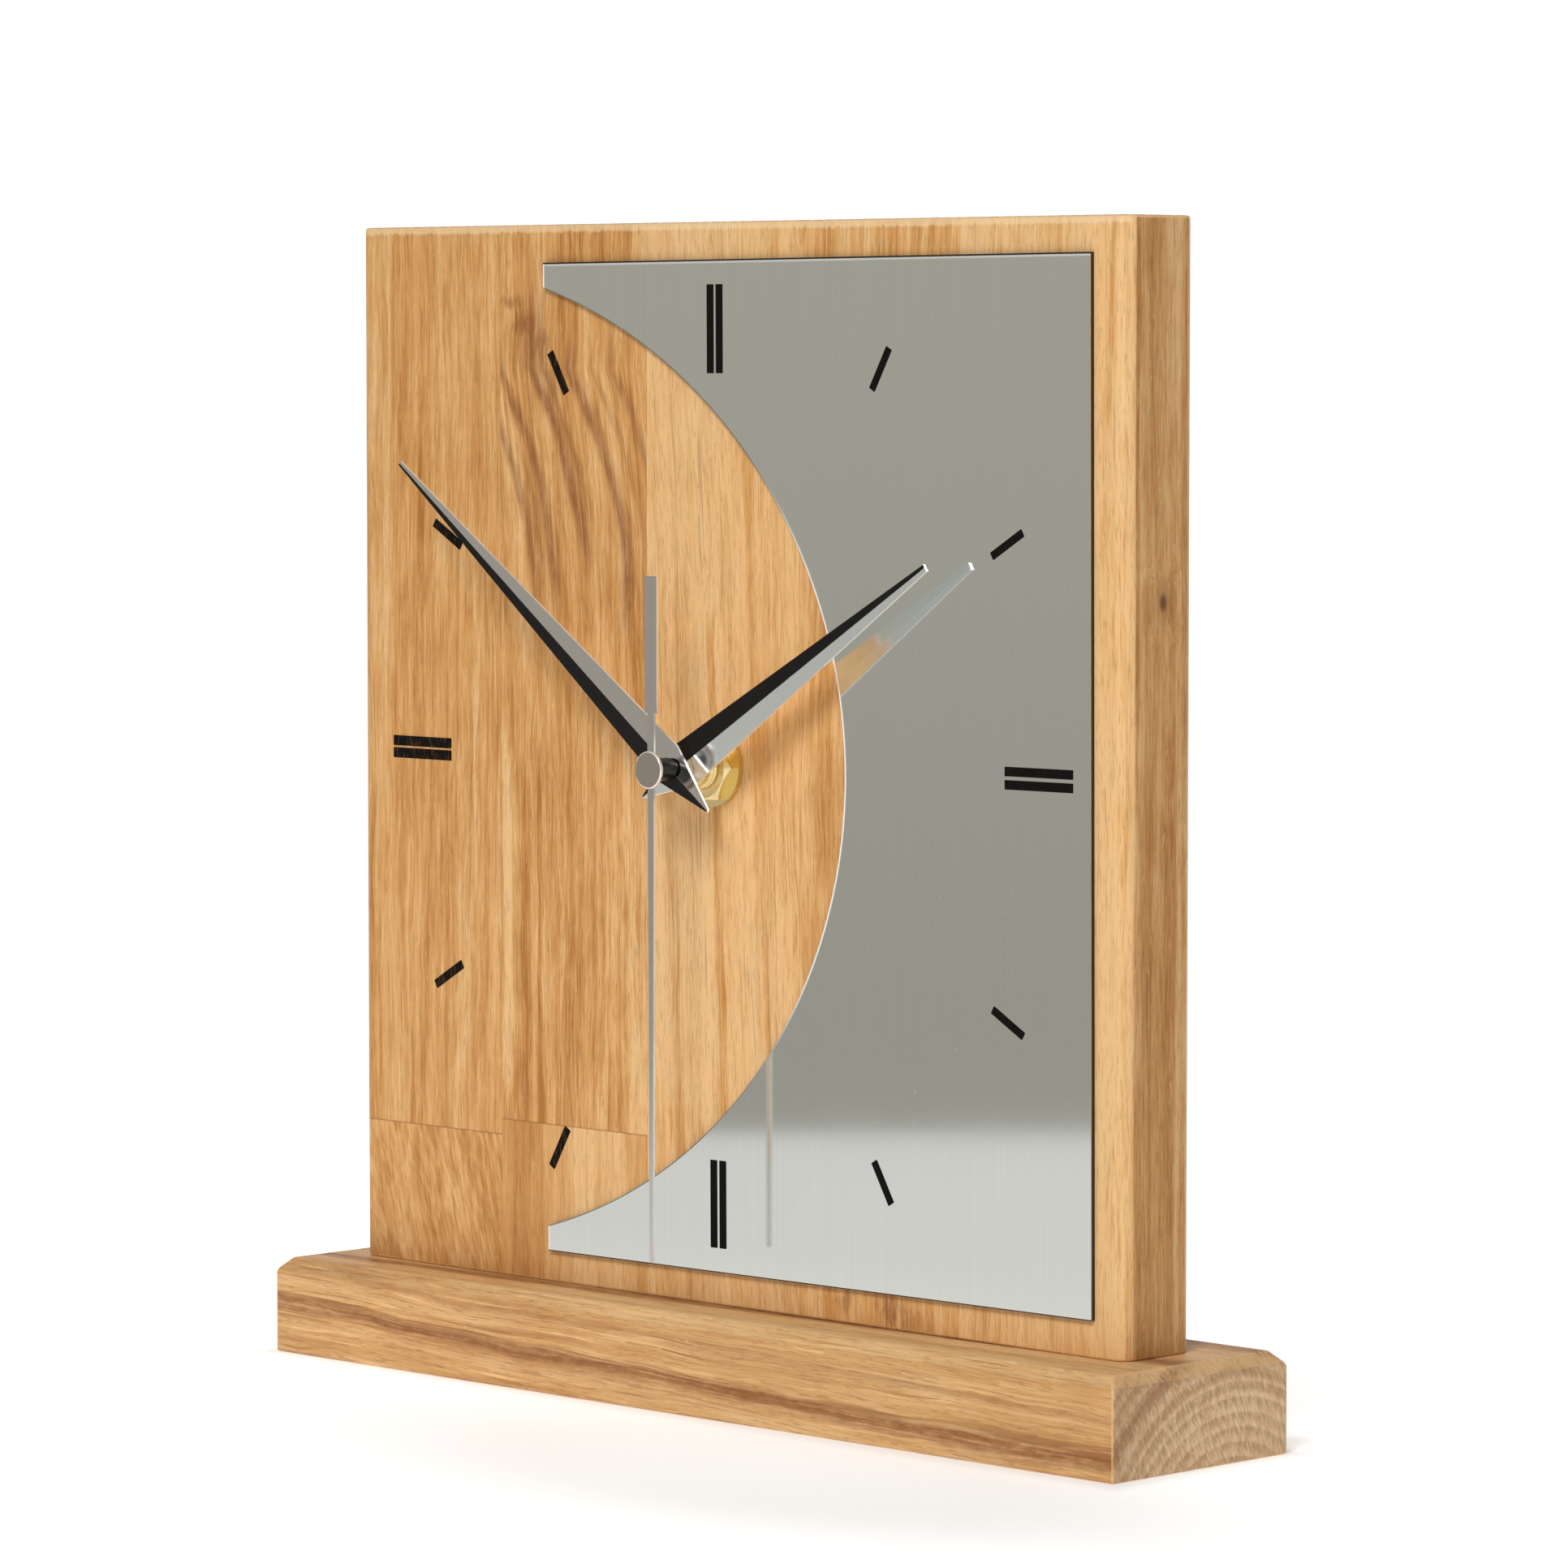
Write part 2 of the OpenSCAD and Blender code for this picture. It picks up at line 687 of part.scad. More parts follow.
module gear_room_outline(inset) {
    translate([-bay_len / 2 + inset, -room_below + inset])
        square([bay_len - 2 * inset, room_above + room_below - 2 * inset]);
}

// Blind holes for the arbors' ends, from y0 back to y1
module pivot_holes(y0, y1) {
    for (p = [third_at, idler_at, rotor_at]) rod(p, arbor_d + 2 * run_gap, y0, y1);
}

module front_case() {
    color("dimgray") at_dial() difference() {
        union() {
            slab(case_y, cover_y) case_outline();
            slab(case_y, case_back_y) difference() {
                case_outline();
                above(bay_top);
            }
        }
        difference() {
            slab(inside_y, cover_y + 1) gear_room_outline(0);
            for (p = pcb_posts) rod(p, post_boss_d, case_y, pcb_y);
            for (p = stator_posts) rod(p, post_boss_d, case_y, stator_y);
            rod(motion_at, motion_post_d, case_y, motion_wheel_y + wheel_t);
        }
        slab(case_y + bay_wall, case_back_y + 1)
            translate([-bay_len / 2, bay_bottom]) square([bay_len, bay_top - bay_bottom]);
        rod(hands_at, bush_d + 2 * press_gap, case_y - 1, inside_y + 1);
        pivot_holes(pivot_front_y - run_gap, inside_y + 1);
        rod(set_at, set_shaft_d + 2 * run_gap, pivot_front_y - run_gap, inside_y + 1);
    }
}

module rear_cover() {
    color("dimgray") at_dial() difference() {
        union() {
            slab(cover_y, case_back_y) intersection() {
                case_outline();
                above(bay_top);
            }
            slab(cover_y - lip_depth, cover_y) difference() {
                gear_room_outline(lip_gap);
                gear_room_outline(lip_gap + lip_w);
            }
        }
        pivot_holes(cover_y - 1, pivot_back_y + run_gap);
        rod(hands_at, second_arbor_d + 2 * run_gap, cover_y - 1, pivot_back_y + run_gap);
        rod(set_at, set_shaft_d + 2 * run_gap, cover_y - 1, case_back_y + 1);
    }
}

module gasket() {
    color("black") at_dial() difference() {
        rod(hands_at, gasket_d, pocket_y, case_y);
        rod(hands_at, bush_d + 2 * hole_gap, pocket_y - 1, case_y + 1);
    }
}

module threaded_bushing() {
    r = bush_d / 2;
    root_r = r - thread_depth;
    flange_r = r + flange_rim;
    thread_start = wall + thread_pitch / 2;
    end = inside_y - bush_y;
    crests = floor((end - thread_depth - thread_start) / thread_pitch);
    // Radius and distance forward of the case's front wall inside, from the flange round to the front end
    outline = concat(
        [[0, -flange_t], [flange_r, -flange_t], [flange_r, 0], [r, 0]],
        [for (i = [0 : crests - 1], k = [0, 1])
            [k == 0 ? r : root_r, thread_start + (i + k / 2) * thread_pitch]],
        [[r, thread_start + crests * thread_pitch], [r, end - thread_depth], [root_r, end], [0, end]]);
    color("gold") at_dial() difference() {
        translate([0, inside_y, 0]) rotate([90, 0, 0]) rotate_extrude() polygon(outline);
        rod(hands_at, hour_pipe_d + 2 * run_gap, bush_y - 1, inside_y + flange_t + 1);
    }
}

module washer() {
    color("gold") at_dial() difference() {
        rod(hands_at, washer_d, washer_y, front_y);
        rod(hands_at, bush_d + 2 * hole_gap, washer_y - 1, front_y + 1);
    }
}

module hex_nut() {
    corner_r = nut_af / 2 / cos(30);
    color("gold") at_dial() difference() {
        intersection() {
            slab(nut_y, washer_y) circle(r = corner_r, $fn = 6);
            translate([0, washer_y, 0]) rotate([90, 0, 0]) union() {
                cylinder(r = corner_r, h = nut_t - nut_bevel_h);
                translate([0, 0, nut_t - nut_bevel_h])
                    cylinder(r1 = corner_r, r2 = nut_af / 2 - nut_bevel_in, h = nut_bevel_h);
            }
        }
        rod(hands_at, bush_d + 2 * press_gap, nut_y - 1, washer_y + 1);
    }
}

// Circuit and motor

module circuit_board() {
    color("darkgreen") at_dial() slab(pcb_y, pcb_end_y)
        translate([pcb_x, pcb_z]) square([pcb_w, pcb_h]);
}

module chip_cover() {
    color("black") at_dial()
        rod([pcb_x + pcb_w / 2, pcb_z + pcb_h / 3], chip_d, pcb_end_y, pcb_end_y + chip_h);
}

module quartz_crystal() {
    color("silver") at_dial()
        translate([pcb_x + (pcb_w - crystal_len) / 2, pcb_end_y + crystal_d / 2, pcb_z + pcb_h * 0.75])
            rotate([0, 90, 0]) cylinder(d = crystal_d, h = crystal_len);
}

module stator() {
    below = rotor_hole_d / 2 + stator_rim;
    top = coil_rise - coil_d / 2 - bobbin_wall;
    color("slategray") at_dial() translate([rotor_at[0], 0, rotor_at[1]]) slab(stator_y, stator_end_y)
        difference() {
            union() {
                translate([-stator_half_w, -below]) square([2 * stator_half_w, below + top]);
                for (s = [-1, 1]) translate([s * (stator_half_w - leg_w / 2) - leg_w / 2, 0])
                    square([leg_w, coil_rise + core_bar_w / 2]);
            }
            circle(d = rotor_hole_d);
        }
}

module coil_core() {
    color("slategray") at_dial() translate([coil_at[0], coil_y, coil_at[1]])
        cube([2 * stator_half_w, core_bar_t, core_bar_w], center = true);
}

// Round disc or tube along X about the coil's axis, from x0 to x1
module coil_round(d, x0, x1) {
    translate([coil_at[0] + x0, coil_y, coil_at[1]]) rotate([0, 90, 0]) cylinder(d = d, h = x1 - x0);
}

module coil_bobbin() {
    color("ivory") at_dial() difference() {
        union() {
            coil_round(bobbin_tube_d, -bobbin_half, bobbin_half);
            coil_round(coil_d + bobbin_wall, -bobbin_half, -bobbin_half + bobbin_wall);
            coil_round(coil_d + bobbin_wall, bobbin_half - bobbin_wall, bobbin_half);
        }
        translate([coil_at[0], coil_y, coil_at[1]])
            cube([2 * coil_len, core_bar_t + 2 * press_gap, core_bar_w + 2 * press_gap], center = true);
    }
}

module coil_winding() {
    half = bobbin_half - bobbin_wall;
    color("chocolate") at_dial() difference() {
        coil_round(coil_d, -half, half);
        coil_round(bobbin_tube_d, -coil_len, coil_len);
    }
}

// Battery and contacts

module contact_plate(x0) {
    translate([x0, battery_y - contact_w / 2, battery_z - contact_w / 2])
        cube([contact_t, contact_w, contact_w]);
}

module contact_plus() {
    color("silver") at_dial() contact_plate(bay_len / 2 - contact_t);
}

// The minus contact has a sprung bow, an arc of sheet that stands off its plate
module contact_minus() {
    plate_x = -bay_len / 2;
    bow_x = battery_end_x - contact_gap;
    rise = bow_x - plate_x - contact_t;
    half = contact_w / 2 - contact_t;
    bow_r = (half * half + rise * rise) / (2 * rise);
    bow_at = [bow_x - bow_r, battery_z];
    color("silver") at_dial() {
        contact_plate(plate_x);
        intersection() {
            difference() {
                rod(bow_at, 2 * bow_r, battery_y - contact_w / 3, battery_y + contact_w / 3);
                rod(bow_at, 2 * (bow_r - contact_t), battery_y - contact_w, battery_y + contact_w);
            }
            translate([plate_x + contact_t / 2, battery_y - contact_w, battery_z - contact_w / 2])
                cube([2 * rise + contact_t, 2 * contact_w, contact_w]);
        }
    }
}

module battery() {
    r = battery_d / 2;
    end_r = r - battery_edge;
    body = battery_len - nub_len;
    color("darkslategray") at_dial() translate([battery_end_x, battery_y, battery_z]) rotate([0, 90, 0])
        rotate_extrude() polygon([[0, 0], [end_r, 0], [r, battery_edge], [r, body - battery_edge],
            [end_r, body], [nub_d / 2, body], [nub_d / 2, battery_len], [0, battery_len]]);
}

// Wheels of the running train

// Arbor between the case's front wall and its cover
module arbor(at) {
    rod(at, arbor_d, pivot_front_y, pivot_back_y);
}

module rotor() {
    color("gray") at_dial() {
        arbor(rotor_at);
        rod(rotor_at, magnet_d, magnet_end_y - magnet_len, magnet_end_y);
        gear(rotor_at, rotor_pinion_n, rotor_module, rotor_phase,
            idler_wheel_y - pinion_over, train_end_y + pinion_over);
    }
}

module idler_wheel() {
    color("white") at_dial() {
        arbor(idler_at);
        gear(idler_at, idler_wheel_n, rotor_module, rotor_dir, idler_wheel_y, train_end_y);
        gear(idler_at, idler_pinion_n, idler_module, idler_pinion_phase,
            second_wheel_y - pinion_over, idler_wheel_y);
    }
}

module second_wheel() {
    color("white") at_dial() {
        rod(hands_at, second_arbor_d, second_y + second_t, pivot_back_y);
        gear(hands_at, second_wheel_n, idler_module, idler_dir, second_wheel_y, second_wheel_y + wheel_t);
        gear(hands_at, second_pinion_n, third_module, third_dir, third_wheel_y - pinion_over, second_wheel_y);
    }
}

module third_wheel() {
    color("white") at_dial() {
        arbor(third_at);
        gear(third_at, third_wheel_n, third_module, third_wheel_phase,
            third_wheel_y, third_wheel_y + wheel_t);
        gear(third_at, third_pinion_n, drive_module, third_pinion_phase,
            drive_wheel_y - pinion_over, third_wheel_y);
    }
}

// The drive wheel slips on the cannon's shank when the hands are set
module minute_drive_wheel() {
    color("white") at_dial() difference() {
        gear(hands_at, drive_wheel_n, drive_module, third_dir, drive_wheel_y, drive_wheel_y + wheel_t);
        rod(hands_at, shank_d + 2 * run_gap, drive_wheel_y - 1, clutch_y + 1);
    }
}

module clutch_spring() {
    color("gold") at_dial() difference() {
        rod(hands_at, clutch_d, clutch_y, cannon_end_y);
        rod(hands_at, shank_d + 2 * press_gap, clutch_y - 1, cannon_end_y + 1);
    }
}

// Wheels of the motion work, from the minute hand to the hour hand

module minute_cannon() {
    pinion_y = motion_wheel_y - pinion_over;
    shoulder_y = motion_wheel_y + wheel_t + pinion_over;
    color("gold") at_dial() difference() {
        union() {
            rod(hands_at, minute_pipe_d, minute_y - hand_t / 2, pinion_y);
            gear(hands_at, cannon_n, motion_module, motion_dir, pinion_y, shoulder_y);
            rod(hands_at, shoulder_d, shoulder_y, drive_wheel_y - run_gap);
            rod(hands_at, shank_d, shoulder_y, cannon_end_y);
        }
        rod(hands_at, second_arbor_d + 2 * run_gap, minute_y - 1, cannon_end_y + 1);
    }
}

module motion_wheel() {
    color("white") at_dial() difference() {
        union() {
            gear(motion_at, motion_wheel_n, motion_module, motion_phase,
                motion_wheel_y, motion_wheel_y + wheel_t);
            gear(motion_at, motion_pinion_n, hour_module, motion_pinion_phase,
                hour_wheel_y - pinion_over, motion_wheel_y);
        }
        rod(motion_at, motion_post_d + 2 * run_gap, inside_y, motion_wheel_y + wheel_t + 1);
    }
}

module hour_wheel() {
    color("white") at_dial() difference() {
        union() {
            gear(hands_at, hour_wheel_n, hour_module, motion_dir, hour_wheel_y, hour_wheel_y + wheel_t);
            rod(hands_at, hour_pipe_d, hour_y - hand_t / 2, hour_wheel_y + wheel_t);
        }
        rod(hands_at, minute_pipe_d + 2 * run_gap, hour_y - 1, hour_wheel_y + wheel_t + 1);
    }
}

module set_knob() {
    color("white") at_dial() {
        rod(set_at, set_shaft_d, pivot_front_y, knob_y);
        gear(set_at, set_pinion_n, motion_module, set_phase,
            motion_wheel_y - pinion_over, motion_wheel_y + wheel_t + pinion_over);
        difference() {
            rod(set_at, knob_d, knob_y, knob_y + knob_h);
            for (i = [0 : knob_grips - 1]) let (at = set_at + polar(knob_d / 2, 360 * i / knob_grips))
                rod(at, grip_d, knob_y - 1, knob_y + knob_h + 1);
        }
    }
}

// Hands

// Section of a folded hand behind its ridge: half a width each way, from the front surface back by depth
module fold_section(half, depth) {
    drop = half * tan(hand_fold);
    polygon([[0, 0], [half, drop], [half, drop + depth], [0, depth], [-half, drop + depth], [-half, drop]]);
}

// Folded hand pointing up, with its ridge through the axis at y = 0, leaning back towards its tip, a collar
// back to collar_end and a bore through both
module folded_hand(length, tail, width, tip_w, collar_d, collar_end, bore_d, lean = 0) {
    span = length + tail + 2;
    difference() {
        intersection() {
            slab(-1, width) polygon([[-tip_w / 2, length], [tip_w / 2, length],
                [width / 2, hand_shoulder], [hand_tail_w / 2, -tail], [-hand_tail_w / 2, -tail],
                [-width / 2, hand_shoulder]]);
            rotate([-lean, 0, 0]) translate([0, 0, -tail - 1]) linear_extrude(span)
                fold_section(width, hand_t / cos(hand_fold));
        }
        rod([0, 0], bore_d, -1, collar_end + 1);
    }
    difference() {
        intersection() {
            rod([0, 0], collar_d, -1, collar_end);
            rotate([-lean, 0, 0]) translate([0, 0, -collar_d]) linear_extrude(2 * collar_d)
                fold_section(width, collar_end + width);
        }
        rod([0, 0], bore_d, -1, collar_end + 1);
    }
}

module hour_hand() {
    collar_end = hour_rise - layer_gap;
    color("silver") at_dial() translate([0, hour_y, 0]) rotate([0, hour_angle, 0])
        folded_hand(hour_len, hour_tail, hour_w, hour_tip_w, hour_collar_d, collar_end,
            hour_pipe_d + 2 * press_gap, hour_lean);
}

module minute_hand() {
    collar_end = minute_rise - hand_t - layer_gap;
    color("silver") at_dial() translate([0, minute_y, 0]) rotate([0, minute_angle, 0])
        folded_hand(minute_len, minute_tail, minute_w, minute_tip_w, minute_collar_d, collar_end,
            minute_pipe_d + 2 * press_gap);
}

module second_hand() {
    color("silver") at_dial() translate([0, second_y, 0]) rotate([0, second_angle, 0]) slab(0, second_t) {
        polygon([[-needle_root_w / 2, 0], [needle_root_w / 2, 0],
            [needle_tip_w / 2, needle_len], [-needle_tip_w / 2, needle_len]]);
        translate([-neck_w / 2, -neck_len - eps]) square([neck_w, neck_len + eps]);
        translate([-weight_w / 2, -neck_len - weight_len]) square([weight_w, weight_len]);
        circle(d = second_disc_d);
    }
}

module second_hand_post() {
    color("black") at_dial() difference() {
        rod(hands_at, post_d, second_y + second_t, minute_y - hand_t / 2 - layer_gap / 2);
        rod(hands_at, second_arbor_d + 2 * press_gap, second_y, minute_y);
    }
}

module second_hand_cap() {
    r = cap_d / 2;
    color("gainsboro") at_dial() translate([0, second_y, 0]) rotate([90, 0, 0]) rotate_extrude() {
        square([r - cap_round, cap_t]);
        translate([0, cap_round]) square([r, cap_t - 2 * cap_round]);
        for (h = [cap_round, cap_t - cap_round]) translate([r - cap_round, h]) circle(cap_round);
    }
}

base_bar();
stave_1_lower();
stave_1_upper();
stave_2_lower();
stave_2_upper();
stave_3();
stave_4();
stave_5();
base_screws();
plate_core();
plate_skin();
plate_marks();
wood_marks();
gasket();
front_case();
rear_cover();
threaded_bushing();
washer();
hex_nut();
circuit_board();
chip_cover();
quartz_crystal();
stator();
coil_core();
coil_bobbin();
coil_winding();
contact_plus();
contact_minus();
battery();
rotor();
idler_wheel();
second_wheel();
third_wheel();
minute_drive_wheel();
clutch_spring();
minute_cannon();
motion_wheel();
hour_wheel();
set_knob();
hour_hand();
minute_hand();
second_hand();
second_hand_post();
second_hand_cap();
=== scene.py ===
"""Looks of an oak table clock: grained wood, brushed plate, folded hands, brass hub and its movement."""

import json
import math
from typing import NamedTuple

import bmesh
import bpy
from bpy.props import FloatProperty, FloatVectorProperty, IntProperty, PointerProperty
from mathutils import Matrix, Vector

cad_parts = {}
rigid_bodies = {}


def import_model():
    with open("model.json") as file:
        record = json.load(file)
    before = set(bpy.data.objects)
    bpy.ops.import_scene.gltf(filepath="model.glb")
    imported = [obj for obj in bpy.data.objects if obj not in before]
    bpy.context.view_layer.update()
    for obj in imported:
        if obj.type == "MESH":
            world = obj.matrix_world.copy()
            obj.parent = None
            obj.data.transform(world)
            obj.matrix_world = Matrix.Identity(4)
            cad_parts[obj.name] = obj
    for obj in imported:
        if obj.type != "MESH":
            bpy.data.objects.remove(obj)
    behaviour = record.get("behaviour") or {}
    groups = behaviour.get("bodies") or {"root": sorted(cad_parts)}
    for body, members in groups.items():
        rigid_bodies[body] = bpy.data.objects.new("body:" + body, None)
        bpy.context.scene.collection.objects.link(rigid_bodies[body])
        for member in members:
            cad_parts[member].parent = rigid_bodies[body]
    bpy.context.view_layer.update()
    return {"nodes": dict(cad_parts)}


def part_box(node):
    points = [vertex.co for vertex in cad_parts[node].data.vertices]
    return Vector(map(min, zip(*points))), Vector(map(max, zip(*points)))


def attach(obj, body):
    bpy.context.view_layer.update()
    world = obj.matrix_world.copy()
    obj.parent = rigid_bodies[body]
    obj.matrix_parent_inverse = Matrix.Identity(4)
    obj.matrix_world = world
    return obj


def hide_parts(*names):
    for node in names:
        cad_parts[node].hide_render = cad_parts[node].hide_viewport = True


bl_info = {
    "name": "Oak table clock",
    "version": (1, 0, 0),
    "blender": (4, 5, 0),
    "location": "View3D > Sidebar > Clock",
    "description": "Dresses the table clock's solids in wood, metal, lacquer and moulded plastic",
    "category": "Object",
}

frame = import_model()
MM = 0.001


def node_box(name):
    """Lowest and highest corner of a node at rest, in millimetres."""
    low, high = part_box(name)
    return low / MM, high / MM


BASE_HIGH = node_box("base_bar")[1]
BOARD_LOW = node_box("stave_1_lower")[0]
BOARD_HIGH = node_box("stave_5")[1]
BOARD_MIDDLE = (BOARD_LOW + BOARD_HIGH) / 2
CAP_LOW, CAP_HIGH = node_box("second_hand_cap")
DIAL = (CAP_LOW + CAP_HIGH) / 2
BATTERY_LOW, BATTERY_HIGH = node_box("battery")
# Where the blackened tip of the minute cannon ends
CANNON_TIP = node_box("minute_hand")[0].y + 1.0


def tone(red, green, blue):
    """A colour picked on screen, 0 to 255, as the linear values that shaders use."""
    parts = [value / 255 for value in (red, green, blue)]
    return tuple(v / 12.92 if v <= 0.04045 else ((v + 0.055) / 1.055) ** 2.4 for v in parts)


def scaled(shade, factor, lift=0.0):
    """A colour made lighter or darker."""
    return tuple(min(v * factor + lift, 1.0) for v in shade)


def hand_angle(name):
    """Angle of a hand at rest, in radians clockwise from twelve, from the middle of its tip."""
    points = [v.co / MM - DIAL for v in frame["nodes"][name].data.vertices]
    reach = max(math.hypot(p.x, p.z) for p in points)
    tip = [p for p in points if math.hypot(p.x, p.z) > reach - 0.1]
    return math.atan2(sum(p.x for p in tip), sum(p.z for p in tip))


# Settings a user would change


def colour(name, description, default):
    """A colour setting."""
    return FloatVectorProperty(
        name=name, description=description, default=default, size=3, min=0.0, max=1.0, subtype="COLOR"
    )


def length(name, description, default):
    """A length setting, given in millimetres and kept in metres."""
    return FloatProperty(
        name=name, description=description, default=default * MM, min=0.0, unit="LENGTH", precision=5
    )


class ClockWood(bpy.types.PropertyGroup):
    """Colours and sizes of the oak."""

    light: colour("Light oak", "Pale wood between the streaks", tone(235, 191, 135))
    warm: colour("Warm oak", "Main colour of the wood", tone(211, 156, 92))
    dark: colour("Dark oak", "Streaks of summer wood", tone(176, 115, 54))
    heart: colour("Heart brown", "Brown veins of heartwood", tone(140, 85, 44))
    pore: colour("Pores", "Open pores and fine lines", tone(140, 88, 46))
    cut: colour("End grain", "Sawn ends", tone(230, 198, 157))
    ease: length("Eased edge", "Rounding of the base's sanded edges", 0.5)
    foot_ease: length("Foot edge", "Rounding of the board where it meets the base", 0.6)
    top_ease: length("Top edge", "Rounding of the board's sawn top", 0.6)


class ClockMetal(bpy.types.PropertyGroup):
    """Colours of the plate, the hands and the hub."""

    plate: colour("Plate", "Brushed face plate", (0.555, 0.572, 0.542))
    # Also the colour of the painted highlight on the plate's cut and of the painted glow on the second hand's
    # back
    bright: colour("Bright edge", "Bare cut edges", (0.93, 0.92, 0.90))
    hand: colour("Silver hand", "Bare half of the minute hand, and the second hand", (0.50, 0.49, 0.47))
    hour: colour("Silver hour hand", "Bare half of the hour hand", (0.77, 0.80, 0.81))
    lacquer: colour("Black hand", "Lacquered half of the hands", tone(16, 14, 13))
    brass: colour("Brass", "Nut, washer and bushing", (0.80, 0.66, 0.33))
    cap: colour("Cap", "Polished cap of the second hand", (0.42, 0.37, 0.34))
    steel: colour("Steel", "Screws, contacts and stator", (0.60, 0.60, 0.59))
    copper: colour("Copper", "Enamelled winding wire", (0.72, 0.30, 0.14))


class ClockPlastic(bpy.types.PropertyGroup):
    """Colours of the movement, its battery and the second hand's post."""

    case: colour("Movement housing", "Moulded housing of the movement", tone(30, 30, 32))
    gear: colour("Gears", "Moulded wheels", tone(226, 221, 206))
    board: colour("Circuit board", "Solder mask", tone(24, 84, 52))
    chip: colour("Chip cover", "Resin over the chip", tone(18, 18, 19))
    magnet: colour("Magnet", "Moulded magnet of the rotor", tone(70, 70, 74))
    post: colour("Post", "Post between the second hand and its cap", tone(22, 22, 22))
    rubber: colour("Rubber", "Gasket behind the wood", tone(26, 26, 27))
    wrap: colour("Battery wrap", "Main part of the battery's sleeve", tone(38, 42, 48))
    band: colour("Battery band", "Band at the plus end of the sleeve", tone(190, 124, 62))


class ClockPlate(bpy.types.PropertyGroup):
    """Place and cut of the face plate."""

    turn: FloatProperty(
        name="Turn",
        description="Turn of the glued plate, anticlockwise",
        default=math.radians(0.3),
        unit="ROTATION",
    )
    drop: length("Drop", "How far the plate sits below the board's middle", 0.3)
    left: length("Left reach", "Reach to the left of the board's middle", 46.5)
    tall: length("Half height", "Half the plate's height", 93.4)
    oval_wide: length("Oval half width", "Half the width of the oval cut", 116.5)
    oval_tall: length("Oval half height", "Half the height of the oval cut", 93.6)
    oval_reach: length("Oval reach", "Reach of the oval to the right of the board's middle", 32.5)
    # Width of the bright cut edge, which carries a painted highlight
    burr_and_highlight: length("Burr", "Width of the bright line along the cut", 0.42)
    # The dark line is the black core's edge at the top and a painted shadow at the bottom
    lip: length("Lip", "Width of the dark line along the top and bottom", 0.32)


class ClockMarks(bpy.types.PropertyGroup):
    """Sizes and colour of the hour marks."""

    ink: colour("Ink", "Printed hour marks", tone(13, 12, 11))
    reach: length("Dial radius", "Outer end of the marks from their ring's middle", 88.85)
    plate_left: length("Plate ring", "How far the ring on the plate sits left of the board's middle", 0.5)
    wood_left: length("Wood ring", "How far the ring on the wood sits left of the board's middle", 1.6)
    wood_drop: length("Wood ring drop", "How far the ring on the wood sits below the board's middle", 1.0)
    three: length("Rise at three", "How far the mark at three sits above its ring's middle", 1.1)
    nine: length("Rise at nine", "How far the mark at nine sits above its ring's middle", 1.0)
    single: length("Single mark", "Length of the single marks", 8.6)
    double: length("Double mark", "Length of the double marks", 16.3)
    slim: length("Single width", "Width of a single mark", 1.5)
    wide: length("Double width", "Width of each bar of a double mark", 1.7)
    gap: length("Gap", "Gap between the two bars", 0.65)
    spread: length("Spread", "How far the ink spreads into the wood on each side", 0.12)
    thick: length("Thickness", "Thickness of the marks", 0.08)
    corner: length("Corner", "Rounding of the marks' corners", 0.12)


class ClockCoil(bpy.types.PropertyGroup):
    """Sizes of the motor's winding."""

    wire: length("Wire", "Thickness of the enamelled wire", 0.24)
    sides: IntProperty(name="Wire sides", description="Sides of the wire's section", default=6, min=3, max=16)


class ClockStage(bpy.types.PropertyGroup):
    """Floor, light and camera of the studio."""

    paper: colour("Floor", "Pale floor", (0.90, 0.895, 0.885))
    glow: FloatProperty(
        name="Floor glow", description="Strength of the floor's own light", default=0.92, min=0.0
    )
    grey: colour("Room", "Soft grey that metal mirrors", (0.63, 0.595, 0.535))
    shade: colour("Low room", "Darker grey under the horizon", (0.54, 0.52, 0.475))
    air: colour("Air", "Soft light from all round", (0.25, 0.25, 0.245))
    side: colour("Right wall", "Soft light from the right", (0.03, 0.03, 0.029))
    panel: colour("Panels", "Bright panels that only metal mirrors", (1.0, 0.99, 0.97))
    key: FloatProperty(
        name="Key light", description="Power of the softbox", default=41.0, min=0.0, unit="POWER"
    )
    edge: length("Floor edge", "Where the pale floor ends, front left of the clock", 440)
    lens: FloatProperty(
        name="Lens", description="Focal length on a 36 mm sensor", default=155.09, subtype="DISTANCE_CAMERA"
    )


# Shader arithmetic


def ahead(operation):
    """A method that adds a Math node with the wire as its first value."""
    return lambda self, other: self.math(operation, self, other)


def behind(operation):
    """A method that adds a Math node with the wire as its second value, as in 1 - mask."""
    return lambda self, other: self.math(operation, other, self)


class Wire:
    """An output socket in a material. Arithmetic on wires adds Math nodes."""

    __add__, __radd__ = ahead("ADD"), behind("ADD")
    __sub__, __rsub__ = ahead("SUBTRACT"), behind("SUBTRACT")
    __mul__, __rmul__ = ahead("MULTIPLY"), behind("MULTIPLY")
    __truediv__, __rtruediv__ = ahead("DIVIDE"), behind("DIVIDE")
    __pow__, __rpow__ = ahead("POWER"), behind("POWER")
    least = ahead("MINIMUM")
    most = ahead("MAXIMUM")

    def __init__(self, paint, socket):
        self.paint = paint
        self.socket = socket

    def math(self, operation, *values):
        return self.paint.node("ShaderNodeMath", {"operation": operation}, dict(enumerate(values)))

    def __abs__(self):
        return self.math("ABSOLUTE", self)

    def fraction(self):
        return self.math("FRACT", self)

    def hypot(self, other):
        """Length of the long side of a right angle with these two sides."""
        return (self ** 2.0 + other ** 2.0) ** 0.5

    def step(self, start, end, low=0.0, high=1.0):
        """Smooth step from low at start to high at end."""
        return self.paint.node(
            "ShaderNodeMapRange",
            {"interpolation_type": "SMOOTHSTEP"},
            {"Value": self, "From Min": start, "From Max": end, "To Min": low, "To Max": high},
        )

    def sibling(self, output):
        """Another output of the same node."""
        return Wire(self.paint, self.socket.node.outputs[output])


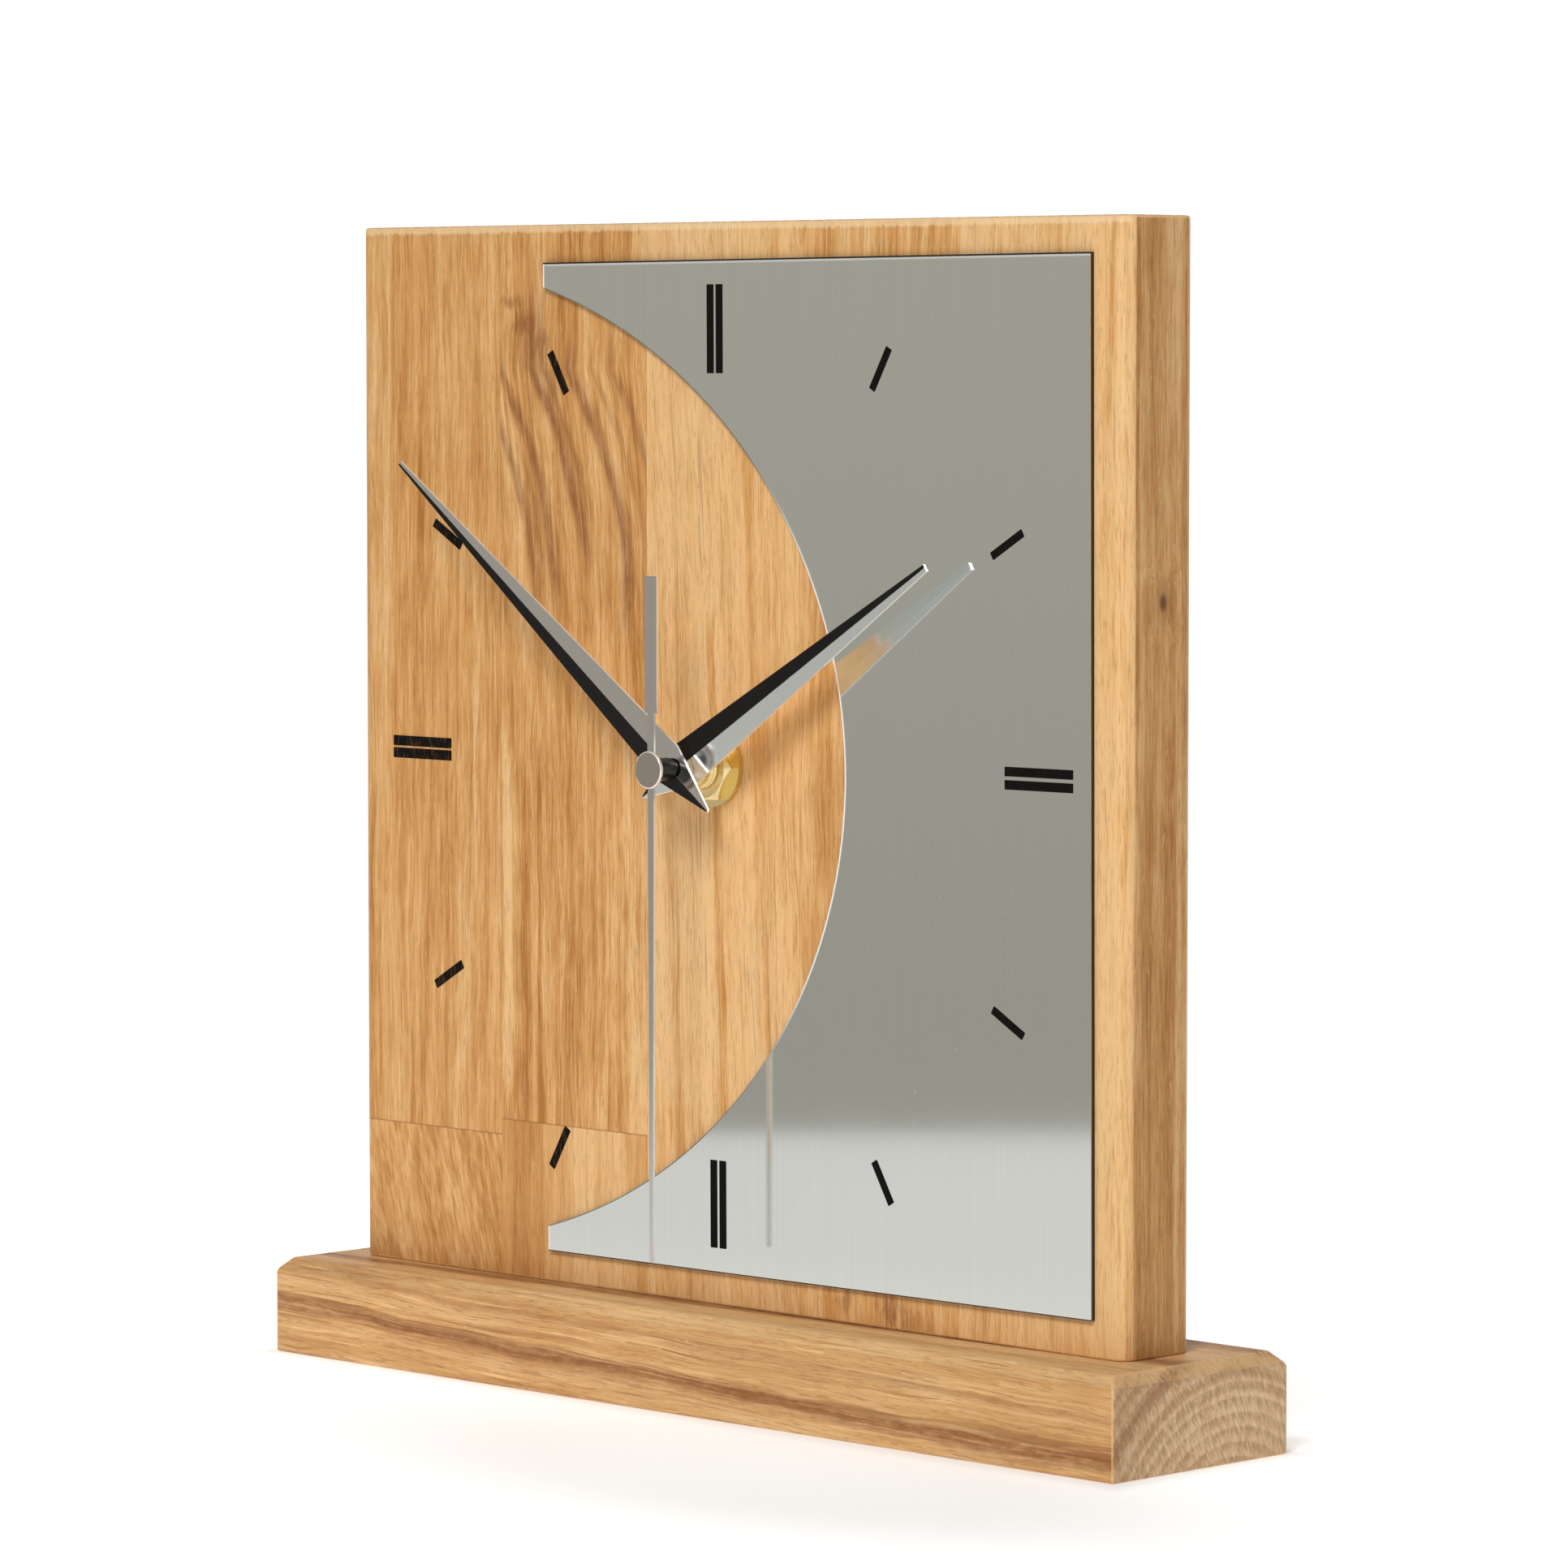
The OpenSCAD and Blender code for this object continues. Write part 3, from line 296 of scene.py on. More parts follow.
class Paint:
    """A material, or the world, in the making: its node tree, its shader and one way to add nodes."""

    def __init__(self, name, kind="materials"):
        self.owner = getattr(bpy.data, kind).new(name)
        self.owner.use_nodes = True
        self.tree = self.owner.node_tree
        self.shader = self.tree.nodes.get("Principled BSDF")

    def node(self, kind, settings=None, sockets=None, output=0):
        """Adds a node: its type, its settings, then the values or links of its sockets."""
        made = self.tree.nodes.new(kind)
        for key, value in (settings or {}).items():
            if key == "stops":
                self.stops(made.color_ramp, value)
            else:
                setattr(made, key, value)
        for key, value in (sockets or {}).items():
            self.plug(made.inputs[key], value)
        return Wire(self, made.outputs[output])

    def stops(self, ramp, stops):
        while len(ramp.elements) < len(stops):
            ramp.elements.new(1.0)
        for element, (place, value) in zip(ramp.elements, stops):
            element.position = place
            element.color = (*value, 1.0)

    def plug(self, socket, value):
        if isinstance(value, Wire):
            self.tree.links.new(value.socket, socket)
        elif socket.type == "RGBA":
            socket.default_value = (*value, 1.0)
        else:
            socket.default_value = value

    def set(self, **sockets):
        """Sets or links the shader's own sockets, named with underscores for spaces."""
        for key, value in sockets.items():
            self.plug(self.shader.inputs[key.replace("_", " ")], value)
        return self.owner

    def place(self):
        """Object coordinates in millimetres."""
        spot = self.node("ShaderNodeTexCoord", output="Object")
        return self.node("ShaderNodeVectorMath", {"operation": "SCALE"}, {0: spot, "Scale": 1 / MM})

    def facing(self):
        """Components of the surface's own direction."""
        return self.split(self.node("ShaderNodeTexCoord", output="Normal"))

    def split(self, vector):
        x = self.node("ShaderNodeSeparateXYZ", sockets={0: vector})
        return x, x.sibling(1), x.sibling(2)

    def join(self, x, y, z):
        return self.node("ShaderNodeCombineXYZ", sockets={0: x, 1: y, 2: z})

    def mix(self, share, first, second, blend="MIX"):
        """Mixes two colours."""
        settings = {"data_type": "RGBA", "blend_type": blend, "clamp_factor": True}
        return self.node("ShaderNodeMix", settings, {0: share, 6: first, 7: second}, output=2)

    def noise(self, vector, size, detail=2.0, rough=0.5, twist=0.0):
        """Noise of about 0 to 1 with patches of the given size in millimetres, one for all axes or three."""
        sizes = size if isinstance(size, tuple) else (size, size, size)
        spread = tuple(1 / s for s in sizes)
        place = self.node("ShaderNodeVectorMath", {"operation": "MULTIPLY"}, {0: vector, 1: spread})
        sockets = {"Vector": place, "Scale": 1.0, "Detail": detail, "Roughness": rough, "Distortion": twist}
        return self.node("ShaderNodeTexNoise", sockets=sockets)

    def ramp(self, value, stops):
        return self.node("ShaderNodeValToRGB", {"stops": stops}, {0: value})

    def bump(self, height, depth, strength):
        """Normal from a height of 0 to 1 that stands for a depth in millimetres."""
        sockets = {"Height": height, "Distance": depth * MM, "Strength": strength}
        return self.node("ShaderNodeBump", sockets=sockets)


# Oak

# Tones of the wood, with the painted shade of its side and the pale band and painted highlight of its top
ROSY_TINT = (1.0, 0.945, 0.86)
PAINTED_SIDE_SHADE = (0.86, 0.87, 0.89)
DULL_OAK = tone(206, 170, 122)
KNOT_BROWN = tone(104, 52, 24)
TORN_FIBRE_AND_HIGHLIGHT = tone(244, 216, 170)
SUMMER_END = tone(158, 116, 78)
SPRING_END = tone(240, 222, 194)
# Width of a year, depth of the pale band of torn fibres and painted highlight at the top, and the fade of
# bands and veins, in millimetres
YEAR = 2.6
TORN_AND_LIT_BAND_DEPTH = 1.4
ZONE_FADE = 12.0


class Sawn(NamedTuple):
    """How a piece was sawn and what shows on it. Lengths are in millimetres.

    The grain runs along an axis, from a shifted place in the pattern, with its years round the pith
    (across, depth). It leans, and curls where it has a bow (start, rate, reach). Its dark lines have a run.

    A band is (place, half width, low, high, lift), a flank the same on the side by its depth, a vein (place,
    half width, low, high, strength), a smudge (place, height, half width, half height, strength), a shell
    (radius round the pith, half width, strength), a joint the height of a butt joint and a knot (depth,
    height, size). A wide flank can carry painted shade over a whole side, and top is painted light that
    lightens the faces that look up.
    """

    along: str = "Z"
    shift: tuple = (0.0, 0.0, 0.0)
    pith: tuple = (0.0, -90.0)
    lean: float = 0.0
    bow: tuple = ()
    bright: float = 0.0
    contrast: float = 1.0
    lines: float = 0.45
    flecks: float = 0.35
    flames: float = 0.25
    rosy: float = 0.6
    run: float = 17.0
    stretch: float = 1.5
    rays: float = 0.0
    grey: float = 0.0
    top: float = 0.0
    bands: tuple = ()
    flanks: tuple = ()
    veins: tuple = ()
    smudges: tuple = ()
    shells: tuple = ()
    joint: float = None
    knot: tuple = ()


def oak(name, looks, sawn, seams=()):
    """Oak as a solid: streaks, lines, pores and rays along the grain, years round the pith, sawn ends."""
    paint = Paint(name)
    mix, noise = paint.mix, paint.noise
    upright = sawn.along == "Z"
    x, y, z = paint.split(paint.place())
    across, depth, along = (x, y, z) if upright else (z, y, x)
    nx, ny, nz = paint.facing()
    lengthwise = abs(nz if upright else nx)
    flank = abs(nx).step(0.945, 0.985)

    def shifted(first):
        return paint.join(first + sawn.shift[0], depth + sawn.shift[1], along + sawn.shift[2])

    def zone(low, high):
        return (along - low).step(0.0, ZONE_FADE) * (high - along).step(0.0, ZONE_FADE)

    # Course of the grain
    raw = shifted(across)
    sway = noise(raw, (26, 26, 105), 2) - 0.5
    ripple = noise(raw, (7, 7, 26), 2) - 0.5
    straight = across + along * sawn.lean
    bent = straight
    if sawn.bow:
        start, rate, reach = sawn.bow
        curl = (along - start).most(0.0).least(reach) ** 2.0 * rate
        bent = straight + curl
        straight = straight + curl * 0.3
    if sawn.knot:
        side, height, size = sawn.knot
        off = ((depth - side) ** 2.0 + (along - height) ** 2.0 * 0.35) ** 0.5
        straight = straight + off.step(size * 5, 0.0) * (depth - side)
    grain = shifted(straight + sway * 5.0 + ripple * 2.0)

    # Light and dark of the wood
    broad = noise(grain, (6.5, 6.5, 140), 2) - 0.5
    streak = noise(grain, (1.5, 1.5, 36 * sawn.stretch), 3, 0.60)
    cloud = noise(raw, (4.2, 4.2, 15), 2) - 0.5
    fibre = noise(grain, (0.36, 0.36, 4.2 * sawn.stretch), 2)
    string = noise(grain, (0.75, 0.75, 13 * sawn.stretch), 3, 0.6)
    mottle = noise(raw, (1.0, 1.0, 3.6), 3, 0.6)
    streaky, fibrous, mottled = streak - 0.5, fibre - 0.5, mottle - 0.5
    body = broad * 0.95 + streaky * 1.15 + cloud * 0.60 + fibrous * 0.80
    shade = body * sawn.contrast + (0.5 + sawn.bright)
    if sawn.rays:
        shade = shade + (noise(shifted(across + along * 0.28), (0.9, 2.5, 4.0), 1) - 0.5) * sawn.rays
    for place, half, low, high, lift in sawn.bands:
        belt = abs(straight + ripple * 1.6 + streaky * 1.5 - place).step(half, half * 0.3)
        shade = shade + belt * zone(low, high) * lift
    for place, half, low, high, lift in sawn.flanks:
        belt = abs(depth + sway * 3.0 + ripple * 1.2 - place).step(half, half * 0.3)
        shade = shade + belt * zone(low, high) * flank * lift
    # Painted light: faces that look up are made lighter
    if sawn.top:
        shade = shade + nz.step(0.40, 0.90) * sawn.top
    face = paint.ramp(shade, ((0.12, looks.dark), (0.48, looks.warm), (0.86, looks.light)))
    rosy = noise(grain, (9, 9, 80), 1).step(0.40, 0.68)
    face = mix(rosy * sawn.rosy, face, ROSY_TINT, "MULTIPLY")
    face = mix(sawn.grey, face, DULL_OAK)

    # Pale flames and flecks, dark lines and pores
    flame = string.step(0.56, 0.70)
    face = mix(flame * sawn.flames, face, scaled(looks.light, 1.12))
    patch = noise(raw, (6, 6, 24), 1).step(0.36, 0.60)
    line = noise(grain, (0.40, 0.40, sawn.run), 1).step(0.62, 0.69) * patch * sawn.lines
    dash = noise(grain, (0.34, 0.34, 4.5), 0).step(0.68, 0.77) * sawn.lines
    pore = noise(grain, (0.22, 0.22, 3.0), 1).step(0.58, 0.72)
    face = mix(line.most(dash * 0.7).most(pore * 0.32), face, looks.pore)
    fleck = noise(grain, (0.26, 0.8, 2.4), 0).step(0.74, 0.82) * patch
    face = mix(fleck * sawn.flecks, face, scaled(looks.light, 1.15))

    # Heartwood, joints and the knot
    patchy = (mottle * 0.4 + string * 0.6).step(0.64, 0.42, 0.50, 1.0)
    ragged = streaky * 3.0 + fibrous * 1.4 + ripple * 3.4
    for place, half, low, high, strength in sawn.veins:
        away = bent - place + ragged
        core = away.step(-half, 0.0) * away.step(half * 1.6, 0.0)
        face = mix(zone(low, high) * core * patchy * strength, face, looks.heart)
    for place, height, half, tall, strength in sawn.smudges:
        away = ((across - place) / half).hypot((along - height) / tall)
        spread = (away + mottled * 1.6 + streaky * 1.6 + ripple * 1.5).step(1.1, 0.1)
        face = mix(spread * patchy * strength, face, looks.heart)
    radius = (across - sawn.pith[0] + along * sawn.lean).hypot(depth - sawn.pith[1]) + sway * 3.0
    for middle, half, strength in sawn.shells:
        away = radius - middle + streaky * 1.8 + ripple * 1.6
        core = away.step(-half * 1.3, 0.0) * away.step(half, half * 0.2)
        face = mix(core * patchy * strength, face, looks.heart)
        edge = abs(away - half * 0.7).step(0.30, 0.05) * patch
        face = mix(edge * strength * 0.7, face, looks.pore)
    if sawn.joint is not None:
        butt = abs(along - sawn.joint).step(0.22, 0.05) * mottle.step(0.15, 0.50)
        face = mix(butt * 0.55, face, looks.heart)
    for seam in seams:
        glued = abs(x - seam).step(0.15, 0.03) * mottle.step(0.32, 0.58)
        face = mix(glued * 0.4, face, looks.heart)
    if sawn.knot:
        face = mix(off.step(size * 3.0, 0.0) * 0.5, face, looks.heart)
        face = mix(off.step(size, size * 0.3) * 0.85, face, KNOT_BROWN)

    # Torn top with a painted highlight, painted shade on the side, sanded edges with a painted highlight, and
    # sawn ends
    end = lengthwise.step(0.60, 0.88)
    if upright:
        # Pale band along the top: torn fibres, partly a painted highlight where the top edge catches light
        fuzz_and_highlight = (z - BOARD_HIGH.z + TORN_AND_LIT_BAND_DEPTH + mottled * 1.4 + (string - 0.5) * 1.2).step(-0.3, 0.3)
        face = mix(fuzz_and_highlight * abs(ny).step(0.3, 0.6) * 0.55, face, TORN_FIBRE_AND_HIGHLIGHT)
        # Painted shade: the side face is made darker
        face = mix(flank, face, PAINTED_SIDE_SHADE, "MULTIPLY")
    # Painted highlight on the eased edges at the top and the foot, with some real sanded paleness
    arris = lengthwise.step(0.08, 0.30) * lengthwise.step(0.94, 0.74)
    face = mix(arris * mottle.step(0.25, 0.55) * 0.55, face, scaled(looks.light, 1.1))
    year = (radius / YEAR).fraction()
    summer = year.step(0.10, 0.80) * year.step(1.0, 0.90)
    tick = noise(paint.join(radius * 0.72, depth + radius * 0.4, along), (1.1, 0.42, 4.0), 1)
    sawn_face = mix(summer * 0.30 + tick.step(0.44, 0.64) * 0.34, looks.cut, SUMMER_END)
    sawn_face = mix(tick.step(0.40, 0.28) * 0.5, sawn_face, SPRING_END)
    for middle, half, strength in sawn.shells:
        core = abs(radius + mottled * 1.6 - middle).step(half * 1.2, half * 0.2)
        sawn_face = mix(core * strength * 0.60, sawn_face, looks.heart)
        sawn_face = mix((radius - middle).step(-1.0, 2.0) * strength * 0.20, sawn_face, looks.heart)

    height = fibre * 0.4 + streak * 0.3 - pore * 0.6 - line * 0.5 - dash * 0.4 + end * tick * 1.2
    return paint.set(
        Base_Color=mix(end * 0.94, face, sawn_face),
        Roughness=0.52 + pore * 0.18 + (0.5 - streak) * 0.2 + end * 0.22,
        Specular_IOR_Level=0.30,
        Normal=paint.bump(height, 0.08, 0.5),
    )


# Other finishes

# Tones of the finishes, and of the painted highlights, shadow and glows on them
NO_LIGHT = (0.0, 0.0, 0.0)
WHITE = (1.0, 1.0, 1.0)
SPECK_GREY = (0.80, 0.80, 0.80)
CORE_EDGE_AND_SHADOW_BLACK = tone(24, 22, 22)
CORE_BLACK, CORE_GREY = tone(14, 13, 14), tone(34, 31, 32)
WORN_INK = tone(112, 78, 48)
WARM_BACK_GLOW, COOL_BACK_GLOW = (0.86, 0.64, 0.40), (0.72, 0.75, 0.76)
TAIL_GLINT = (1.4, 1.4, 1.4)
RIM_HIGHLIGHT_SILVER = (0.95, 0.93, 0.90)
TIP_BLACK = tone(20, 19, 19)
SLEEVE_SHINE = (0.35, 0.34, 0.33)
# Strength of the painted glow on the backs of the hands, which stands in for the light they throw on the
# plate
BACK_SHEEN = 0.5
# Where a hand's round collar ends, as a squared radius, and where the painted glow on its back turns from
# warm to cool
COLLAR = (12.5, 13.5)
BACK_TURN = (36.0, 50.0)
# Bare steel at the plus end of the battery, in millimetres, and where its band starts along it
STEEL_END = 1.35
BAND_START = 0.70
# Dim pool on the floor in front of the base: its middle and half sizes, in millimetres
POOL_X, POOL_Y, POOL_WIDE, POOL_DEEP = 60.0, -58.0, 150.0, 72.0
# Where the floor fades out behind the clock, in millimetres along the line of sight
FADE = (160.0, 620.0)
DIAGONAL = math.sqrt(0.5)


def brushed_plate(name, metal, plate):
    """Bright plate with fine upright brush lines, a painted highlight on its bare cut, its left edge and
    under its top, the black core's dark lip at its top and a painted shadow along its foot and the rest of
    its cut.
    """
    paint = Paint(name)
    spot = paint.place()
    x, y, z = paint.split(spot)
    cos, sin = math.cos(plate.turn), math.sin(plate.turn)
    right = x - BOARD_MIDDLE.x
    up = z - (BOARD_MIDDLE.z - plate.drop / MM)
    out = right * cos + up * sin
    high = up * cos - right * sin
    wide, tall = plate.oval_wide / MM, plate.oval_tall / MM
    oval_x = (out - (plate.oval_reach - plate.oval_wide) / MM) / wide
    ratio = oval_x.hypot(high / tall)
    from_cut = (ratio - 1.0) * ((wide + tall) / 2)
    burr_and_highlight, lip = plate.burr_and_highlight / MM, plate.lip / MM
    # Bright line: bare cut metal with a painted highlight along the part of the cut that faces left, the left
    # edge and just under the top
    level = (oval_x / ratio).step(0.78, 0.95)
    bright = from_cut.step(burr_and_highlight, burr_and_highlight * 0.5) * level
    bright = bright.most((out + plate.left / MM).step(burr_and_highlight, burr_and_highlight * 0.6))
    from_top = plate.tall / MM - high
    from_foot = plate.tall / MM + high
    bright = bright.most(from_top.step(lip + 0.45, lip + 0.25) * 0.45)
    # Dark line: the black core's edge at the top, and a painted shadow along the foot and along the part of
    # the cut that faces away from the light
    dark = from_top.step(lip + 0.08, lip - 0.08).most(from_foot.step(lip * 0.7, lip * 0.4))
    dark = dark.most(from_cut.step(lip * 0.9, lip * 0.3) * (1.0 - level) * 0.7)

    line = paint.noise(spot, (0.16, 5.0, 60.0), 3, 0.6)
    weave = paint.noise(spot, (9.0, 5.0, 0.30), 2)
    cloud = paint.noise(spot, (40, 20, 60), 2)
    speck = paint.noise(spot, 0.5, 0).step(0.82, 0.85)
    face = paint.mix(line.step(0.30, 0.70) * 0.35 + weave * 0.10, metal.plate, scaled(metal.plate, 0.90))
    face = paint.mix(speck * 0.25, face, SPECK_GREY)
    face = paint.mix(bright, face, metal.bright)
    return paint.set(
        Base_Color=paint.mix(dark, face, CORE_EDGE_AND_SHADOW_BLACK),
        Metallic=(1.0 - bright * 0.85) * (1.0 - dark),
        Roughness=0.07 + (line - 0.5) * 0.06 + (cloud - 0.5) * 0.03 + speck * 0.2 + bright * 0.2 + dark * 0.4,
        Specular_IOR_Level=0.25,
        Normal=paint.bump(line + weave * 0.3, 0.0008, 0.3),
    )


def black_core(name):
    """Black plastic core of the plate, with saw marks along its edge."""
    paint = Paint(name)
    cut = paint.noise(paint.place(), 0.25, 2)
    face = paint.mix(cut, CORE_BLACK, CORE_GREY)
    return paint.set(Base_Color=face, Roughness=0.45 + cut * 0.2, Normal=paint.bump(cut, 0.03, 0.5))


def printed_ink(name, ink, worn):
    """Thick black print with pinholes and a slightly uneven coat, worn thin along the grain on wood."""
    paint = Paint(name)
    spot = paint.place()
    coat = paint.noise(spot, 0.7, 3)
    pin = paint.noise(spot, 0.22, 0).step(0.74, 0.80)
    thin = paint.noise(spot, (0.30, 0.30, 2.6), 2).step(0.52, 0.70) * worn
    face = paint.mix(coat.step(0.35, 0.75) * 0.4, ink, scaled(ink, 2.0))
    return paint.set(
        Base_Color=paint.mix((pin * 0.35).most(thin), face, WORN_INK),
        Roughness=0.55 + coat * 0.2,
        Specular_IOR_Level=0.05,
        Normal=paint.bump(coat - pin, 0.02, 0.5),
    )


def folded_hand(name, metal, silver, angle):
    """A hand folded along its middle: one half in black lacquer, one in brushed silver, bright cut edges, a
    painted glow on its back and a painted glint on its tail's cut edges.
    """
    paint = Paint(name)
    spot = paint.place()
    x, y, z = paint.split(spot)
    right, up = x - DIAL.x, z - DIAL.z
    side = right * math.cos(angle) - up * math.sin(angle)
    out = right * math.sin(angle) + up * math.cos(angle)
    nx, ny, nz = paint.facing()
    front = ny.step(-0.20, -0.45)
    cut = abs(ny).step(0.60, 0.35) * (side * side + out * out).step(*COLLAR)
    ragged = paint.noise(spot, 0.4, 2) - 0.5
    coat = (side + ragged * 0.12).step(0.06, -0.06) * front
    brush = paint.noise(paint.join(side, y, out), (0.12, 1.0, 14.0), 2)
    cloud = paint.noise(spot, 6, 2)
    bare = paint.mix(brush * 0.30 + cloud * 0.12, silver, scaled(silver, 0.84))
    bare = paint.mix(cut, bare, metal.bright)
    # Painted glow on the hand's back, warm near the arc and cool further out, standing in for the wood and
    # plate it mirrors
    back_glow_tone = paint.mix(out.step(*BACK_TURN), WARM_BACK_GLOW, COOL_BACK_GLOW)
    back = paint.mix(ny.step(0.50, 0.80), NO_LIGHT, back_glow_tone)
    dust = paint.noise(spot, 0.3, 2).step(0.66, 0.76)
    black = paint.mix(dust * 0.2 + cloud * 0.3, metal.lacquer, scaled(metal.lacquer, 2.0))
    return paint.set(
        Base_Color=paint.mix(coat, bare, black),
        Metallic=(1.0 - coat) * (1.0 - cut * 0.5),
        Roughness=0.12 + brush * 0.06 + coat * (cloud * 0.15 + 0.16),
        Specular_IOR_Level=0.10,
        # Painted glint: the cut edges of the tail glow white
        Emission_Color=paint.mix(cut * out.step(3.0, -2.0), back, TAIL_GLINT),
        Emission_Strength=BACK_SHEEN,
        Normal=paint.bump(brush * (1.0 - coat) + cloud * coat * 0.6, 0.003, 0.4),
    )


def satin_silver(name, metal):
    """Blanked silver sheet with fine lines along its length, bright cut edges and a painted glow on its back.
    """
    paint = Paint(name)
    spot = paint.place()
    nx, ny, nz = paint.facing()
    cut = abs(ny).step(0.60, 0.35)
    line = paint.noise(spot, (0.10, 0.5, 12.0), 2)
    cloud = paint.noise(spot, (4, 4, 9), 2)
    face = paint.mix(line * 0.3 + cloud * 0.15, metal.hand, scaled(metal.hand, 0.78))
    return paint.set(
        Base_Color=paint.mix(cut, face, metal.bright),
        Metallic=1.0 - cut * 0.5,
        Roughness=0.16 + line * 0.10,
        # Painted glow on the back of the second hand
        Emission_Color=paint.mix(ny.step(0.50, 0.80), NO_LIGHT, metal.bright),
        Emission_Strength=BACK_SHEEN,
        Normal=paint.bump(line, 0.004, 0.4),
    )


def turned_metal(name, shade, rough, worn=0.25, pitch=0.12, rim=0.0, tip=None):
    """Metal turned about the hands' axis: faint rings, darker stains, small knocks.

    The rounded rim can carry a painted highlight brighter than the face, and all that lies before a tip's end
    is blackened.
    """
    paint = Paint(name)
    spot = paint.place()
    x, y, z = paint.split(spot)
    radius = (x - DIAL.x).hypot(z - DIAL.z)
    ring = paint.noise(paint.join(radius, y, 0.0), (pitch, pitch * 2.0, 1.0), 2)
    stain = paint.noise(spot, 2.4, 3)
    knock = paint.noise(spot, 0.5, 2).step(0.62, 0.75)
    face = paint.mix(stain * worn, shade, scaled(shade, 0.62))
    metallic = 1.0
    if rim:
        nx, ny, nz = paint.facing()
        # Painted highlight: the rounded rim is made paler and less metallic
        polish_and_highlight = ny.step(-0.985, -0.90) * rim
        face = paint.mix(polish_and_highlight, face, RIM_HIGHLIGHT_SILVER)
        metallic = 1.0 - polish_and_highlight * 0.4
    if tip is not None:
        black = y.step(tip + 0.1, tip - 0.1)
        face = paint.mix(black, face, TIP_BLACK)
        metallic = 1.0 - black
    return paint.set(
        Base_Color=face,
        Metallic=metallic,
        Roughness=rough + ring * 0.12 + stain * 0.10 + knock * 0.10,
        Normal=paint.bump(ring - knock * 0.4, 0.008, 0.4),
    )


def rolled_steel(name, shade, rough):
    """Rolled or plated sheet and wire with faint lines and spots."""
    paint = Paint(name)
    spot = paint.place()
    line = paint.noise(spot, (6.0, 0.25, 0.25), 2)
    spotty = paint.noise(spot, 1.2, 3)
    return paint.set(
        Base_Color=paint.mix(spotty * 0.35, shade, scaled(shade, 0.70)),
        Metallic=1.0,
        Roughness=rough + line * 0.12 + spotty * 0.10,
        Normal=paint.bump(line, 0.008, 0.4),
    )


def moulded(name, shade, rough, spark, fine=0.35):
    """Moulded plastic with a spark-eroded texture, faint flow lines and rubbed high spots."""
    paint = Paint(name)
    spot = paint.place()
    grit = paint.noise(spot, fine, 3)
    flow = paint.noise(spot, (9, 6, 14), 2, 0.5, 0.8)
    rub = paint.noise(spot, 3, 3).step(0.55, 0.80)
    face = paint.mix(flow * 0.5, shade, scaled(shade, 1.5, 0.004))
    return paint.set(
        Base_Color=paint.mix(rub * 0.12, face, scaled(shade, 2.2, 0.01)),
        Roughness=rough + (grit - 0.5) * 0.15 - rub * 0.08,
        Normal=paint.bump(grit, spark, 0.45),
    )


def solder_mask(name, shade):
    """Circuit board with copper tracks under its mask."""
    paint = Paint(name)
    spot = paint.place()
    x, y, z = paint.split(spot)
    track = (z * 0.8 + paint.noise(spot, 5, 0) * 2.0).fraction().step(0.40, 0.48)
    track = track * (x * 0.5).fraction().step(0.05, 0.10)
    glass = paint.noise(spot, 0.2, 2)
    return paint.set(
        Base_Color=paint.mix(track * 0.6, shade, scaled(shade, 1.9)),
        Roughness=0.30 + glass * 0.12,
        Normal=paint.bump(track + glass * 0.3, 0.03, 0.5),
    )


def enamelled_wire(name, shade):
    """Copper wire under clear enamel."""
    paint = Paint(name)
    cloud = paint.noise(paint.place(), (2, 0.8, 0.8), 3)
    return paint.set(
        Base_Color=paint.mix(cloud * 0.5, shade, scaled(shade, 0.6)),
        Metallic=0.9,
        Roughness=0.24 + cloud * 0.14,
        Normal=paint.bump(cloud, 0.01, 0.3),
    )


def battery_sleeve(name, plastic, steel):
    """Printed sleeve in two plain colours, shrunk over steel ends."""
    paint = Paint(name)
    spot = paint.place()
    x, y, z = paint.split(spot)
    nx, ny, nz = paint.facing()
    end = abs(nx).step(0.80, 0.92)
    lip = (x - BATTERY_HIGH.x + STEEL_END).step(-0.05, 0.05).most(end)
    wave = paint.noise(spot, 6, 2)
    long = BATTERY_HIGH.x - BATTERY_LOW.x
    band = (x - BATTERY_LOW.x - long * BAND_START).step(-0.10, 0.10)
    shine = paint.noise(spot, (0.5, 0.3, 0.3), 2)
    sleeve = paint.mix(band, plastic.wrap, plastic.band)
    sleeve = paint.mix(shine * 0.25, sleeve, SLEEVE_SHINE)
    return paint.set(
        Base_Color=paint.mix(lip, sleeve, steel),
        Metallic=lip,
        Roughness=0.26 + wave * 0.14 + lip * 0.08,
        Coat_Weight=(1.0 - lip) * 0.4,
        Coat_Roughness=0.1,
        Normal=paint.bump(wave + shine * 0.2, 0.05, 0.4),
    )


